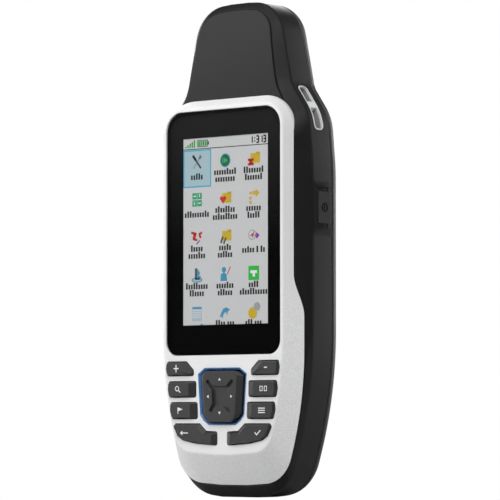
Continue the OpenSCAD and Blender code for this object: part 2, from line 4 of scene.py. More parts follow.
import bmesh
import bpy
import numpy as np
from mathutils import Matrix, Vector


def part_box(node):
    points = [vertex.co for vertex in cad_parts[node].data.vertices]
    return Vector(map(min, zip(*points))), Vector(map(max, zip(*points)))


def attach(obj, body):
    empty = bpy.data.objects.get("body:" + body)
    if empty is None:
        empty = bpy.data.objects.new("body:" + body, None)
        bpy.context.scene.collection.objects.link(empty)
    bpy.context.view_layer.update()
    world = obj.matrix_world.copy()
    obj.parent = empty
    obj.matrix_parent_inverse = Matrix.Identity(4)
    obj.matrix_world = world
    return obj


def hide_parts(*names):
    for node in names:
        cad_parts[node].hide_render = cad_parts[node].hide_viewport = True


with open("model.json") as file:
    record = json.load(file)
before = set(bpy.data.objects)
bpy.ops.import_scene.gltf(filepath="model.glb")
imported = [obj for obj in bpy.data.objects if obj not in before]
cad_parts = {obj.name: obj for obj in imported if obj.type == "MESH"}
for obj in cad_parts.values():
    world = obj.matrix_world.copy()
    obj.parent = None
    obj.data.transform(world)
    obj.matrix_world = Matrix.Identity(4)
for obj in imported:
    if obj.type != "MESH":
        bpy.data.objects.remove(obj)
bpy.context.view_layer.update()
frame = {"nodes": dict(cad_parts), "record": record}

MM = 0.001
SCREEN_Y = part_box("display_panel")[0].y / MM        # the display's surface; all depths count from it


def depth(d):
    """Y in millimetres of a depth behind the display's surface."""
    return SCREEN_Y + d


# ---- the case's outlines, in millimetres, as [half width, height, radius] corners ----

HALF_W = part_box("front_case")[1].x / MM
CASE_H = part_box("front_case")[1].z / MM
FRONT_W = 29.5                                      # half width of the chamfer's front edge
FACE_D, BEVEL_D, WRAP_D = -1.6, 1.8, 4.6            # bezel: its face, its edge, its edge low down
SHOULDER_D, PARTING_D, SEAL_T = 7.3, 17.5, 0.4
REAR_D, COVER_D, SPINE_D = 27.5, 33.0, 42.4
WRAP_Z0, WRAP_Z1 = 62.0, 76.5                       # where the bezel starts to turn down over the side
ARC = 14                                            # steps in a rounded corner
LENS_W, LENS_Z0, LENS_Z1 = 26.25, 49.2, 134.2
DISPLAY_W, DISPLAY_H, DISPLAY_Z = 39.2, 65.3, 92.3
PLATE_T = 1.8                                       # thickness of the bezel's plate
ROCKER_Z = 34.8
KEY_TOP, ROCKER_TOP = FACE_D - 1.0, FACE_D - 1.4
SLOT_D, SLOT_PLACE, SLOT_UP = 11.9, (29.5, 134.4), (-8, 15.7)    # the lanyard slot's middle and its own up
LOCK_Z = 20.0                                       # the middle of the cover lock
END_COLUMNS = 10                                    # columns of faces across a solid's filled end


def smooth(t):
    """Rises from 0 to 1 with level ends."""
    t = min(1.0, max(0.0, t))
    return t * t * (3 - 2 * t)


def corner(a, v, b, r, steps):
    """The arc that rounds the corner v between a and b."""
    a, v, b = (np.array(p[:2], float) for p in (a, v, b))
    u = (a - v) / np.linalg.norm(a - v)
    w = (b - v) / np.linalg.norm(b - v)
    half = math.acos(float(np.clip(u @ w, -1, 1))) / 2
    reach = r / math.tan(half)
    centre = v + (u + w) / np.linalg.norm(u + w) * r / math.sin(half)
    p, q = v + u * reach - centre, v + w * reach - centre
    start = math.atan2(p[1], p[0])
    turn = math.atan2(p[0] * q[1] - p[1] * q[0], float(p @ q))
    angles = [start + turn * k / steps for k in range(steps + 1)]
    return [centre + r * np.array([math.cos(a), math.sin(a)]) for a in angles]


def side(corners, fill):
    """The right half of an outline, from the bottom up; straight stretches get fill extra points."""
    groups = []
    for i, c in enumerate(corners):
        if c[2] == 0:
            groups.append([np.array(c[:2], float)])
        else:
            groups.append(corner(corners[i - 1], c, corners[i + 1], c[2], ARC))
    points = list(groups[0])
    for group in groups[1:]:
        start = points[-1]
        points += [start + (group[0] - start) * k / (fill + 1) for k in range(1, fill + 1)]
        points += group
    return np.array(points)


def loop(corners, fill=4):
    """A whole outline from the corners of its right half."""
    half = side(corners, fill)
    return np.vstack([half, half[::-1] * [-1, 1]])


def inset(outline, t):
    """An outline moved inwards by t."""
    d = np.roll(outline, -1, axis=0) - np.roll(outline, 1, axis=0)
    d /= np.linalg.norm(d, axis=1)[:, None]
    return outline + t * np.column_stack([-d[:, 1], d[:, 0]])


def wrapped(z):
    """1 where the bezel turns down over the side, 0 above that."""
    return 1 - smooth((z - WRAP_Z0) / (WRAP_Z1 - WRAP_Z0))


def bezel_d(z):
    """The depth of the bezel's outer edge at a height."""
    return BEVEL_D + (WRAP_D - BEVEL_D) * wrapped(z)


def front_d(z):
    """The depth of the chamfer's front edge; it falls back over the aerial."""
    return bezel_d(z) + 1.3 * smooth((z - 126) / 10) + 2.5 * (max(0, z - 140) / 29) ** 2.2


WRAP = [WRAP_Z0 + (WRAP_Z1 - WRAP_Z0) * k / 12 for k in range(13)]
FACE = loop([[4, 14.7, 0], [21, 15.9, 9], [27.5, 40.3, 130]] + [[27.5, z, 0] for z in WRAP]
            + [[27.5, 135.4, 8.5], [4, 135.4, 0]])
BEZEL = loop([[6, 4.3, 0], [23.3, 5.4, 12.5], [31.8, 32.6, 120]]
             + [[FRONT_W + 2.3 * wrapped(z), z, 0] for z in WRAP] + [[FRONT_W, 138.2, 13], [4, 138.2, 0]])
CASE = loop([[8, 0, 0], [22.7, 1.6, 16.3], [HALF_W, 35.7, 140]] + [[HALF_W, z, 0] for z in WRAP]
            + [[HALF_W, 113, 100], [HALF_W - 1.6, 131.2, 18], [24.1, 142.2, 8], [18, CASE_H - 1, 13.7],
               [4, CASE_H, 0]])
FRONT = loop([[6, 4.3, 0], [23.3, 5.4, 12.5], [31.8, 32.6, 120]]
             + [[FRONT_W + 2.3 * wrapped(z), z, 0] for z in WRAP]
             + [[FRONT_W, 113, 100], [29.2, 126.3, 20], [20.3, 141.6, 22], [15.4, 168.1, 9.7], [4, 169.3, 0]])


def ring(outline, d):
    """An outline set at a depth, which is a number or a function of height."""
    d = [d(p[1]) if callable(d) else d for p in outline]
    return np.column_stack([outline[:, 0], np.array(d) + SCREEN_Y, outline[:, 1]])


def rounded(rings, radii, steps=5):
    """The same rings with the crease at each inner ring rounded off by its radius."""
    out = [rings[0]]
    for before, at, after, r in zip(rings, rings[1:], rings[2:], radii):
        u, w = before - at, after - at
        lu = np.maximum(np.linalg.norm(u, axis=1), 1e-9)[:, None]
        lw = np.maximum(np.linalg.norm(w, axis=1), 1e-9)[:, None]
        p = at + u / lu * np.minimum(r, lu * 0.48)
        q = at + w / lw * np.minimum(r, lw * 0.48)
        for k in range(steps + 1):
            t = k / steps
            out.append(p * (1 - t) ** 2 + at * 2 * t * (1 - t) + q * t * t)
    return out + [rings[-1]]


# ---- meshes ----

def mesh_object(name, verts, faces, sharp=30):
    """A clean object from corners in millimetres and faces."""
    mesh = bpy.data.meshes.new(name)
    mesh.from_pydata([Vector(v) * MM for v in verts], [], faces)
    bm = bmesh.new()
    bm.from_mesh(mesh)
    bmesh.ops.remove_doubles(bm, verts=bm.verts, dist=1e-7)
    bmesh.ops.dissolve_degenerate(bm, edges=bm.edges, dist=1e-7)
    bmesh.ops.recalc_face_normals(bm, faces=bm.faces)
    bm.to_mesh(mesh)
    bm.free()
    obj = bpy.data.objects.new(name, mesh)
    bpy.context.scene.collection.objects.link(obj)
    shade(obj, sharp)
    return obj


def shade(obj, sharp=30):
    """Smooth shading with edges kept sharp above an angle."""
    obj.data.shade_smooth()
    obj.data.set_sharp_from_angle(angle=math.radians(sharp))


def loft(name, rings, sharp=30):
    """A closed solid through rings; its two ends are filled by level strips across the width."""
    n = len(rings[0])
    verts = [p for r in rings for p in r]
    faces = []
    for j in range(len(rings) - 1):
        for i in range(n):
            k = (i + 1) % n
            faces.append((j * n + i, j * n + k, (j + 1) * n + k, (j + 1) * n + i))
    for end in (0, len(rings) - 1):
        base, shape = end * n, rings[end]
        if np.ptp(shape[:, 1]) < 1e-6:
            faces.append(tuple(range(base, base + n)))
            continue
        last = next(i for i in range(n // 2) if shape[i, 2] > shape[n // 2 - 1, 2] - 1e-6)
        before = [base, base + n - 1]
        for i in range(1, last):
            a, b = shape[i], shape[n - 1 - i]
            across = range(len(verts), len(verts) + END_COLUMNS - 1)
            row = [base + i, *across, base + n - 1 - i]
            verts += [a + (b - a) * c / END_COLUMNS for c in range(1, END_COLUMNS)]
            if i == 1:
                faces.append(tuple(before + row[::-1]))
            else:
                faces += [(before[c], before[c + 1], row[c + 1], row[c]) for c in range(END_COLUMNS)]
            before = row
        faces.append(tuple(list(range(base + last, base + n - last)) + before[::-1]))
    return mesh_object(name, verts, faces, sharp)


def prism(name, points, lo, hi, axis="y"):
    """A flat shape drawn out along Y between two depths, or along X; points are then y and z."""
    return slabs(name, [points], lo, hi, axis)


def slabs(name, shapes, lo, hi, axis="y"):
    """Several flat shapes drawn out together, as one mesh."""
    verts, faces = [], []
    for points in shapes:
        n, base = len(points), len(verts)
        for h in (lo, hi):
            verts += [(p[0], depth(h), p[1]) if axis == "y" else (h, p[0], p[1]) for p in points]
        faces += [tuple(range(base, base + n)), tuple(range(base + 2 * n - 1, base + n - 1, -1))]
        faces += [(base + i, base + i + n, base + (i + 1) % n + n, base + (i + 1) % n) for i in range(n)]
    return mesh_object(name, verts, faces)


def turned(name, profile, place, steps=64):
    """A solid of revolution about Y; profile is [radius, distance along the axis]."""
    verts, faces = [], []
    for r, h in profile:
        for k in range(steps):
            a = 2 * math.pi * k / steps
            verts.append((place[0] + r * math.cos(a), place[1] + h, place[2] + r * math.sin(a)))
    for j in range(len(profile) - 1):
        for k in range(steps):
            m = (k + 1) % steps
            faces.append((j * steps + k, j * steps + m, (j + 1) * steps + m, (j + 1) * steps + k))
    faces.append(tuple(range(steps)))
    faces.append(tuple(range(len(profile) * steps - 1, (len(profile) - 1) * steps - 1, -1)))
    return mesh_object(name, verts, faces)


def cut(obj, *tools, operation="DIFFERENCE", sharp=30):
    """Cuts each tool out of the object, or joins or trims by it, and removes the tools."""
    for tool in tools:
        mod = obj.modifiers.new("cut", "BOOLEAN")
        mod.operation = operation
        mod.solver = "MANIFOLD"
        mod.object = tool
        settle(obj)
        bpy.data.objects.remove(tool, do_unlink=True)
    shade(obj, sharp)


def settle(obj):
    """Applies every modifier on an object."""
    deps = bpy.context.evaluated_depsgraph_get()
    mesh = bpy.data.meshes.new_from_object(obj.evaluated_get(deps))
    obj.modifiers.clear()
    old, obj.data = obj.data, mesh
    bpy.data.meshes.remove(old)


def soften(obj, width, segments=3, angle=28):
    """Rounds the sharp edges and keeps the flat faces flat in the shading."""
    bevel = obj.modifiers.new("bevel", "BEVEL")
    bevel.width = width * MM
    bevel.segments = segments
    bevel.limit_method = "ANGLE"
    bevel.angle_limit = math.radians(angle)
    bevel.use_clamp_overlap = True
    settle(obj)
    obj.data.shade_smooth()
    weighted = obj.modifiers.new("weighted", "WEIGHTED_NORMAL")
    weighted.weight = 80
    weighted.keep_sharp = False
    settle(obj)


def tablet(w, z0, z1, r_low, r_top):
    """A rectangle with rounded corners, of half width w."""
    return loop([[w - r_low - 0.5, z0, 0], [w, z0, r_low], [w, z1, r_top], [w - r_top - 0.5, z1, 0]], 1)


def stacked(name, levels):
    """A solid through three outlines of equal length, each at its own depth."""
    n = len(levels[0][0])
    verts = [(p[0], depth(d), p[1]) for points, d in levels for p in points]
    faces = [tuple(range(n)), tuple(range(3 * n - 1, 2 * n - 1, -1))]
    for j in (0, n):
        faces += [(j + i, j + (i + 1) % n, j + n + (i + 1) % n, j + n + i) for i in range(n)]
    return mesh_object(name, verts, faces)


def pillow(name, outline, d0, d1, edge, steps=6):
    """A plate with its rear edge rounded: straight sides, then a quarter round onto the flat rear."""
    rings = [ring(outline, d0)]
    for k in range(steps + 1):
        a = math.pi / 2 * k / steps
        rings.append(ring(inset(outline, edge * (1 - math.cos(a))), d1 - edge + edge * math.sin(a)))
    return loft(name, rings, 40)


def place(obj, body, slot, material, *nodes):
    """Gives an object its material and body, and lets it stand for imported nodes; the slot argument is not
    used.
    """
    obj.data.materials.clear()
    obj.data.materials.append(material)
    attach(obj, body)
    if nodes:
        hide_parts(*nodes)


# ---- materials ----

GRAIN_HEIGHT = 0.00008                              # metres
DISPLAY_GLOW = 0.3                                  # strength of the lit display's own light


def set_inputs(tree, owner, values):
    """Feeds a node's inputs, by name or number, each from another socket or as a constant."""
    for key, value in values.items():
        if isinstance(value, bpy.types.NodeSocket):
            tree.links.new(value, owner.inputs[key])
        else:
            owner.inputs[key].default_value = value


def add_node(tree, kind, values=None):
    """A new shader node in a tree."""
    made = tree.nodes.new("ShaderNode" + kind)
    set_inputs(tree, made, values or {})
    return made


def blank(name):
    """A new material, its node tree and its main shader."""
    mat = bpy.data.materials.new(name)
    mat.use_nodes = True
    return mat, mat.node_tree, mat.node_tree.nodes["Principled BSDF"]


def object_coords(tree):
    """The object's own coordinates."""
    return add_node(tree, "TexCoord").outputs["Object"]


def component(tree, vector, axis):
    """One component of a vector."""
    return add_node(tree, "SeparateXYZ", {"Vector": vector}).outputs[axis]


def noise(tree, scale, detail, coord):
    """A noise pattern."""
    return add_node(tree, "TexNoise", {"Scale": scale, "Detail": detail, "Vector": coord}).outputs["Fac"]


def scaled(tree, value, lo, hi):
    """A value from 0 to 1, spread between two limits."""
    return add_node(tree, "MapRange", {"Value": value, "To Min": lo, "To Max": hi}).outputs["Result"]


def fade(tree, value, start, end):
    """A value that rises smoothly from 0 at the start to 1 at the end."""
    made = add_node(tree, "MapRange", {"Value": value, "From Min": start, "From Max": end})
    made.interpolation_type = "SMOOTHSTEP"
    return made.outputs["Result"]


def arithmetic(tree, operation, *values):
    """The result of a sum on sockets or constants."""
    made = add_node(tree, "Math", dict(enumerate(values)))
    made.operation = operation
    return made.outputs["Value"]


def ramp(tree, value, *stops):
    """A colour that follows a value; each stop is a position and a colour, the two outer stops first."""
    made = add_node(tree, "ValToRGB", {"Fac": value})
    elements = made.color_ramp.elements
    for i, (position, color) in enumerate(stops):
        stop = elements[i] if i < 2 else elements.new(position)
        stop.position = position
        stop.color = (*color, 1)
    return made.outputs["Color"]


def times(color, factor):
    """A colour made lighter or darker, up to white."""
    return [min(1, c * factor) for c in color]


def material(name, color, rough, metal=0.0, spec=0.5, grain=0.0, scale=3000, mottle=0.04, mottle_scale=120,
             coat=0.0, rough_vary=0.06):
    """Moulded plastic, rubber or metal: mottled colour, varied gloss and a fine grain."""
    mat, tree, bsdf = blank(name)
    coord = object_coords(tree)
    cloud = noise(tree, mottle_scale, 6, coord)
    set_inputs(tree, bsdf, {
        "Base Color": ramp(tree, cloud, (0.3, times(color, 1 - mottle)), (0.7, times(color, 1 + mottle))),
        "Roughness": scaled(tree, cloud, max(0.02, rough - rough_vary), min(1, rough + rough_vary)),
        "Metallic": metal, "Specular IOR Level": spec, "Coat Weight": coat, "Coat Roughness": 0.15})
    if grain:
        bump = add_node(tree, "Bump", {"Strength": grain, "Distance": GRAIN_HEIGHT,
                                       "Height": noise(tree, scale, 3, coord)})
        set_inputs(tree, bsdf, {"Normal": bump.outputs["Normal"]})
    return mat


def two_tone(mat, color, grain):
    """Gives a material a second colour and a stronger grain low down, where it turns away from the front."""
    tree = mat.node_tree
    bsdf = tree.nodes["Principled BSDF"]
    coord = object_coords(tree)
    normal = add_node(tree, "NewGeometry").outputs["Normal"]
    turned_away = fade(tree, component(tree, normal, "Y"), -0.995, -0.95)
    low = fade(tree, component(tree, coord, "Z"), WRAP_Z1 * MM, WRAP_Z0 * MM)
    share = arithmetic(tree, "MULTIPLY", turned_away, low)
    speck = noise(tree, 2600, 4, coord)
    blend = add_node(tree, "Mix")
    blend.data_type = "RGBA"
    set_inputs(tree, blend, {"Factor": share, 6: bsdf.inputs["Base Color"].links[0].from_socket,
                             7: ramp(tree, speck, (0.36, times(color, 0.90)), (0.66, times(color, 1.08)))})
    set_inputs(tree, bsdf, {"Base Color": blend.outputs[2]})
    set_inputs(tree, tree.nodes["Bump"], {"Strength": scaled(tree, share, 0.08, grain)})


def paint_facet_shade(mat, shade_level):
    """Painted shade: darkens the colour of a material on facets that stand half way between the front and the
    side.
    """
    tree = mat.node_tree
    bsdf = tree.nodes["Principled BSDF"]
    normal = add_node(tree, "NewGeometry").outputs["Normal"]
    forward = arithmetic(tree, "MULTIPLY", component(tree, normal, "Y"), -1)
    full, dim = (1, 1, 1), (shade_level, shade_level, shade_level)
    share = ramp(tree, forward, (0.46, full), (0.93, full), (0.54, dim), (0.86, dim))
    blend = add_node(tree, "MixRGB")
    blend.blend_type = "MULTIPLY"
    set_inputs(tree, blend, {"Fac": 1, "Color1": bsdf.inputs["Base Color"].links[0].from_socket,
                             "Color2": share})
    set_inputs(tree, bsdf, {"Base Color": blend.outputs["Color"]})


def blend_shaders(tree, share, first, second, output="Material Output"):
    """Sends a blend of two shaders to a tree's output."""
    mix = add_node(tree, "MixShader", {"Fac": share, 1: first, 2: second})
    set_inputs(tree, tree.nodes[output], {"Surface": mix.outputs["Shader"]})


def lens_glass():
    """Clear hard glass: a faint sheen on its outer side, over what lies behind it."""
    mat, tree, bsdf = blank("lens_glass")
    tree.nodes.remove(bsdf)
    cloud = add_node(tree, "TexNoise", {"Scale": 60}).outputs["Fac"]
    gloss = add_node(tree, "BsdfGlossy", {"Roughness": scaled(tree, cloud, 0.05, 0.12)})
    clear = add_node(tree, "BsdfTransparent")
    outer = arithmetic(tree, "SUBTRACT", 1.0, add_node(tree, "NewGeometry").outputs["Backfacing"])
    fresnel = add_node(tree, "Fresnel", {"IOR": 1.25}).outputs["Fac"]
    sheen = arithmetic(tree, "MULTIPLY", fresnel, outer)
    blend_shaders(tree, sheen, clear.outputs["BSDF"], gloss.outputs["BSDF"])
    return mat


def lit(name, color):
    """A patch of the lit display: its own light through fine columns, under a matt film."""
    mat, tree, bsdf = blank(name)
    grid = add_node(tree, "TexWave", {"Scale": 960, "Vector": object_coords(tree)}).outputs["Fac"]
    shine = ramp(tree, grid, (0, times(color, 0.94)), (1, color))
    set_inputs(tree, bsdf, {"Base Color": shine, "Emission Color": shine, "Emission Strength": DISPLAY_GLOW,
                            "Roughness": 0.5, "Specular IOR Level": 0.2})
    return mat


def border_print_and_painted_reflection():
    """The black print behind the lens, with a painted reflection: its colour is painted lighter towards the
    top, where it looks dark grey.
    """
    mat, tree, bsdf = blank("border_print_and_painted_reflection")
    coord = object_coords(tree)
    # painted reflection: the print's colour rises from near black low down to dark grey at the top
    rise = add_node(tree, "MapRange", {"Value": component(tree, coord, "Z"),
                                       "From Min": 0.085, "From Max": 0.134})
    speck = add_node(tree, "TexNoise", {"Scale": 5000, "Vector": coord}).outputs["Fac"]
    speck_and_painted_reflection = arithmetic(tree, "MULTIPLY_ADD", speck, 0.08, rise.outputs["Result"])
    set_inputs(tree, bsdf, {
        "Base Color": ramp(tree, speck_and_painted_reflection, (0, (0.0012, 0.0012, 0.0013)), (1, (0.020, 0.020, 0.021))),
        "Roughness": 0.9, "Specular IOR Level": 0.0})
    return mat


white = material("white_satin", (0.85, 0.85, 0.85), 0.38, grain=0.10, scale=2600, mottle=0.015,
                 rough_vary=0.04)
two_tone(white, (0.88, 0.88, 0.88), 0.44)
dark_shell = material("dark_moulded", (0.0145, 0.0145, 0.015), 0.46, spec=0.23, grain=0.35, scale=2600,
                      mottle=0.06)
# painted shade on the dark shell's chamfers, which face half way between the front and the side
paint_facet_shade(dark_shell, 0.3)
dark_back = material("dark_rear", (0.020, 0.020, 0.021), 0.44, spec=0.5, grain=0.55, scale=2000, mottle=0.08)
seal = material("seal_rubber", (0.012, 0.012, 0.012), 0.7, grain=0.3, scale=1500, mottle=0.1)
key_dark = material("key_rubber", (0.021, 0.021, 0.0215), 0.42, grain=0.22, scale=3200, mottle=0.05)
legend = material("legend_ink", (0.82, 0.82, 0.82), 0.5, grain=0.1, scale=4000, mottle=0.03)
# painted shade: a matt near-black sheet stands for the shadow in the power symbol's engraved groove
groove_shade = material("engraving_painted_shade", (0.002, 0.002, 0.002), 0.9, spec=0.0, mottle=0.2)
blue_trim = material("blue_trim", (0.065, 0.20, 0.49), 0.28, grain=0.06, mottle=0.08, coat=0.3)
slot_grey = material("slot_insert", (0.34, 0.345, 0.35), 0.4, grain=0.2, mottle=0.05)
slot_rim = material("slot_rim", (0.88, 0.88, 0.88), 0.34, grain=0.1, mottle=0.03)
lens_black = material("lens_border", (0.004, 0.004, 0.0045), 0.25, grain=0.02, mottle=0.1, spec=0.35)
steel = material("plated_steel", (0.60, 0.60, 0.62), 0.26, metal=1.0, grain=0.1, scale=1800, mottle=0.04)
bright_spring = material("spring_steel", (0.70, 0.70, 0.72), 0.18, metal=1.0, grain=0.05, mottle=0.03)
gold = material("gold_plate", (0.75, 0.55, 0.22), 0.24, metal=1.0, grain=0.08, mottle=0.04)
copper = material("copper_strip", (0.72, 0.34, 0.18), 0.28, metal=1.0, grain=0.08, mottle=0.06)
ceramic = material("ceramic_former", (0.74, 0.70, 0.60), 0.6, grain=0.2, mottle=0.04)
board_green = material("circuit_board", (0.015, 0.12, 0.05), 0.35, grain=0.3, scale=900, mottle=0.25,
                       mottle_scale=600)
cell_jacket = material("cell_jacket", (0.02, 0.03, 0.05), 0.3, grain=0.04, mottle=0.15, coat=0.4)
bay = material("bay_plastic", (0.05, 0.05, 0.052), 0.6, grain=0.4, scale=1600, mottle=0.06)


# ---- front bezel ----

KEYS = {
    "zoom": [[13.3, 42.2], [25.4, 42.2], [25.9, 44.6], [25.5, 46.9], [16.6, 46.9], [13.4, 44]],
    "find": [[12.2, 34.7], [24.4, 34.7], [25, 37.3], [24.7, 40], [12.2, 40]],
    "mark": [[11.4, 27.2], [23.1, 27.2], [24, 30], [23.8, 32.7], [11.6, 32.7]],
    "quit": [[2.4, 18.05], [12.8, 18.8], [18.3, 19.9], [20.6, 21.3], [22.3, 24.3],
             [21.8, 25.3], [10.3, 25.3], [7.35, 22.7], [2.4, 22.5]],
}
# How far each edge of a key's top lies inside its base, edge by edge from the first corner.
SLOPES = {
    "zoom": [0.45, 0.5, 0.5, 0.4, 2.0, 1.3],
    "find": [0.45, 0.5, 0.5, 0.4, 2.6],
    "mark": [0.45, 0.5, 0.5, 0.4, 2.6],
}
KEY_GAP = 0.26
KEY_CORNER, KEY_TOP_CORNER, OPENING_CORNER = 0.75, 0.6, 0.95
# the rocker's opening: its right half from the top, then both halves
OCTAGON = [[8.1, 44.7], [11.2, 42.6], [10.1, 28.4], [8.5, 26.5], [6.1, 24.95]]
OCTAGON = [[x, z] for x, z in reversed(OCTAGON)] + [[-x, z] for x, z in OCTAGON]


def shrink(points, widths):
    """A polygon with each edge moved inwards by its own width."""
    points = [np.array(p, float) for p in points]
    area = sum(a[0] * b[1] - a[1] * b[0] for a, b in zip(points, points[1:] + points[:1]))
    lines = []
    for i, p in enumerate(points):
        d = points[(i + 1) % len(points)] - p
        d /= np.linalg.norm(d)
        inward = np.array([-d[1], d[0]]) * (1 if area > 0 else -1)
        w = widths[i] if hasattr(widths, "__len__") else widths
        lines.append((p + inward * w, d))
    out = []
    for (p, d), (q, e) in zip(lines[-1:] + lines[:-1], lines):
        t = ((q[0] - p[0]) * e[1] - (q[1] - p[1]) * e[0]) / (d[0] * e[1] - d[1] * e[0])
        out.append(p + d * t)
    return out


def mirror(points, hand):
    """Points on the right side, or on the left when hand is -1."""
    return [np.array([hand * p[0], p[1]]) for p in points]


def curved(points, r):
    """A polygon with every corner rounded, by less where its edges are short."""
    out = []
    for i, v in enumerate(points):
        before, after = np.array(points[i - 1]), np.array(points[(i + 1) % len(points)])
        u, w = before - v, after - v
        lu, lw = np.linalg.norm(u), np.linalg.norm(w)
        half = math.acos(float(np.clip(u @ w / lu / lw, -1, 1))) / 2
        out += corner(before, v, after, min(r, 0.4 * min(lu, lw) * math.tan(half)), 8)
    return out


def bezel():
    """The white front with its window and its openings for the keys."""
    t = PLATE_T
    skirt_d = lambda z: bezel_d(z) + 1.5 * smooth((z - 124) / 8)
    rings = rounded([ring(inset(FACE, 1.2), FACE_D), ring(FACE, FACE_D), ring(BEZEL, bezel_d),
                     ring(BEZEL, skirt_d), ring(inset(BEZEL, 1.6), skirt_d),
                     ring(inset(FACE, t), FACE_D + t), ring(inset(FACE, t + 2), FACE_D + t)],
                    [0.55, 0.3, 0.02, 0.02, 0.4])
    body = loft("front_bezel_shell", rings, sharp=35)
    window = loft("window", [ring(tablet(LENS_W + 0.12, LENS_Z0 - 0.12, LENS_Z1 + 0.12, 5, 7), d)
                             for d in (FACE_D - 2, FACE_D + t + 1)])
    tools = [window, prism("hole", shrink(OCTAGON, -0.05), FACE_D - 2, FACE_D + t + 1)]
    for points in KEYS.values():
        for hand in (-1, 1):
            opening = curved(shrink(mirror(points, hand), -KEY_GAP), OPENING_CORNER)
            tools.append(prism("hole", opening, FACE_D - 2, FACE_D + t + 1))
    cut(body, *tools, sharp=35)
    place(body, "housing", "white_shell", white, "front_bezel")


bezel()


def bar(x, z, w, h, turn=0):
    """A rectangle about a middle point, turned by degrees."""
    a = math.radians(turn)
    return [(x + u * math.cos(a) - v * math.sin(a), z + u * math.sin(a) + v * math.cos(a))
            for u, v in ((-w / 2, -h / 2), (w / 2, -h / 2), (w / 2, h / 2), (-w / 2, h / 2))]


def disc(x, z, r, steps=28, squash=1.0):
    """A round, or an oval when squash is not 1."""
    angles = [2 * math.pi * k / steps for k in range(steps)]
    return [(x + r * math.cos(a), z + squash * r * math.sin(a)) for a in angles]


def band(x, z, r0, r1):
    """Short blocks round a circle, between two radii."""
    out = []
    for k in range(20):
        t0, t1 = (math.radians(360 * (k + j) / 20) for j in (0, 1))
        out.append([(x + r * math.cos(t), z + r * math.sin(t)) for r, t in
                    ((r0, t0), (r1, t0), (r1, t1), (r0, t1))])
    return out


def frame_bars(x, z, w, h, t):
    """The four sides of a rectangle, as bars of thickness t."""
    return [bar(x, z + h / 2 - t / 2, w, t), bar(x, z - h / 2 + t / 2, w, t),
            bar(x - w / 2 + t / 2, z, t, h - 2 * t), bar(x + w / 2 - t / 2, z, t, h - 2 * t)]


def moved(shapes, x, z):
    """Shapes moved to a place."""
    return [[(x + p[0], z + p[1]) for p in shape] for shape in shapes]


# ---- keys ----

def facet_key(points, slopes, top_d):
    """A prism whose top is drawn in edge by edge, so that each side has its own slope."""
    base, top = curved(points, KEY_CORNER), curved(shrink(points, slopes), KEY_TOP_CORNER)
    return stacked("facet", [(base, FACE_D + PLATE_T), (base, FACE_D + 0.1), (top, top_d)])


# The lowest keys are a block with a tongue towards the middle.
BLOCK = [[7.6, 18.35], [12.8, 18.8], [18.3, 19.9], [20.6, 21.3], [22.3, 24.3], [21.8, 25.3], [10.3, 25.3],
         [7.35, 22.7]]
BLOCK_SLOPES = [0.5, 0.5, 0.5, 0.5, 0.4, 0.4, 1.4, 0.1]
TONGUE = [[2.4, 18.05], [12.8, 18.8], [12.8, 22.6], [2.4, 22.5]]
TONGUE_SLOPES = [0.4, 0.05, 0.9, 1.9]


def key(node, row, hand, shapes):
    """One key and the symbol on it."""
    if row == "quit":
        obj = facet_key(mirror(BLOCK, hand), BLOCK_SLOPES, KEY_TOP)
        cut(obj, facet_key(mirror(TONGUE, hand), TONGUE_SLOPES, KEY_TOP + 0.02), operation="UNION")
    else:
        obj = facet_key(mirror(KEYS[row], hand), SLOPES[row], KEY_TOP)
    obj.name = obj.data.name = node + "_top"
    soften(obj, 0.24, 3, 12)
    place(obj, node, "key_rubber", key_dark, node)
    symbol = slabs(node + "_symbol", shapes, KEY_TOP - 0.03, KEY_TOP + 0.1)
    place(symbol, node, "key_rubber", legend)


def symbol_shapes():
    """The symbols of the eight keys, each about its own middle."""
    plus = [bar(0, 0, 2.3, 0.42), bar(0, 0.76, 0.42, 1.1), bar(0, -0.76, 0.42, 1.1)]
    minus = [bar(0, 0, 1.3, 0.42)]
    find = band(-0.5, 0.2, 0.62, 0.95) + [bar(0.55, -0.75, 1.2, 0.36, -42)]
    page = frame_bars(-1.0, 0, 1.3, 1.8, 0.26) + frame_bars(0.95, 0, 1.3, 1.8, 0.26)
    flag = [bar(-0.9, 0, 0.34, 2.2), [(-0.7, 1.1), (1.3, 0.45), (-0.7, -0.2)]]
    menu = [bar(0, k, 3.0, 0.34) for k in (-0.75, 0, 0.75)]
    back = [bar(0.55, 0, 2.7, 0.36), [(-1.8, 0), (-0.7, -0.85), (-0.7, 0.85)]]
    tick = [[(-1.3, 0.1), (-1.0, 0.4), (-0.35, -0.3), (-0.3, -0.85)],
            [(-0.35, -0.3), (1.2, 1.1), (1.5, 0.85), (-0.3, -0.85)]]
    return plus, minus, find, page, flag, menu, back, tick


KEY_LIST = [("key_zoom_in", "zoom", -1, (-20.6, 44.6)), ("key_zoom_out", "zoom", 1, (20.6, 44.6)),
            ("key_find", "find", -1, (-19.6, 37.4)), ("key_page", "find", 1, (19.6, 37.4)),
            ("key_mark", "mark", -1, (-18.8, 29.95)), ("key_menu", "mark", 1, (18.8, 29.95)),
            ("key_quit", "quit", -1, (-16.9, 22.2)), ("key_enter", "quit", 1, (16.9, 22.2))]
for (node, row, hand, spot), shapes in zip(KEY_LIST, symbol_shapes()):
    key(node, row, hand, moved(shapes, *spot))


# ---- rocker ----

GROOVE = [[-6.3, 4.9], [-5.5, 5.9], [-3.0, 3.5], [3.0, 3.5], [5.5, 5.9], [6.3, 4.9], [3.6, 2.2], [3.3, -2.4],
          [4.9, -4.9], [4.0, -5.7], [1.8, -3.5], [-1.8, -3.5], [-4.0, -5.7], [-4.9, -4.9], [-3.3, -2.4],
          [-3.6, 2.2]]


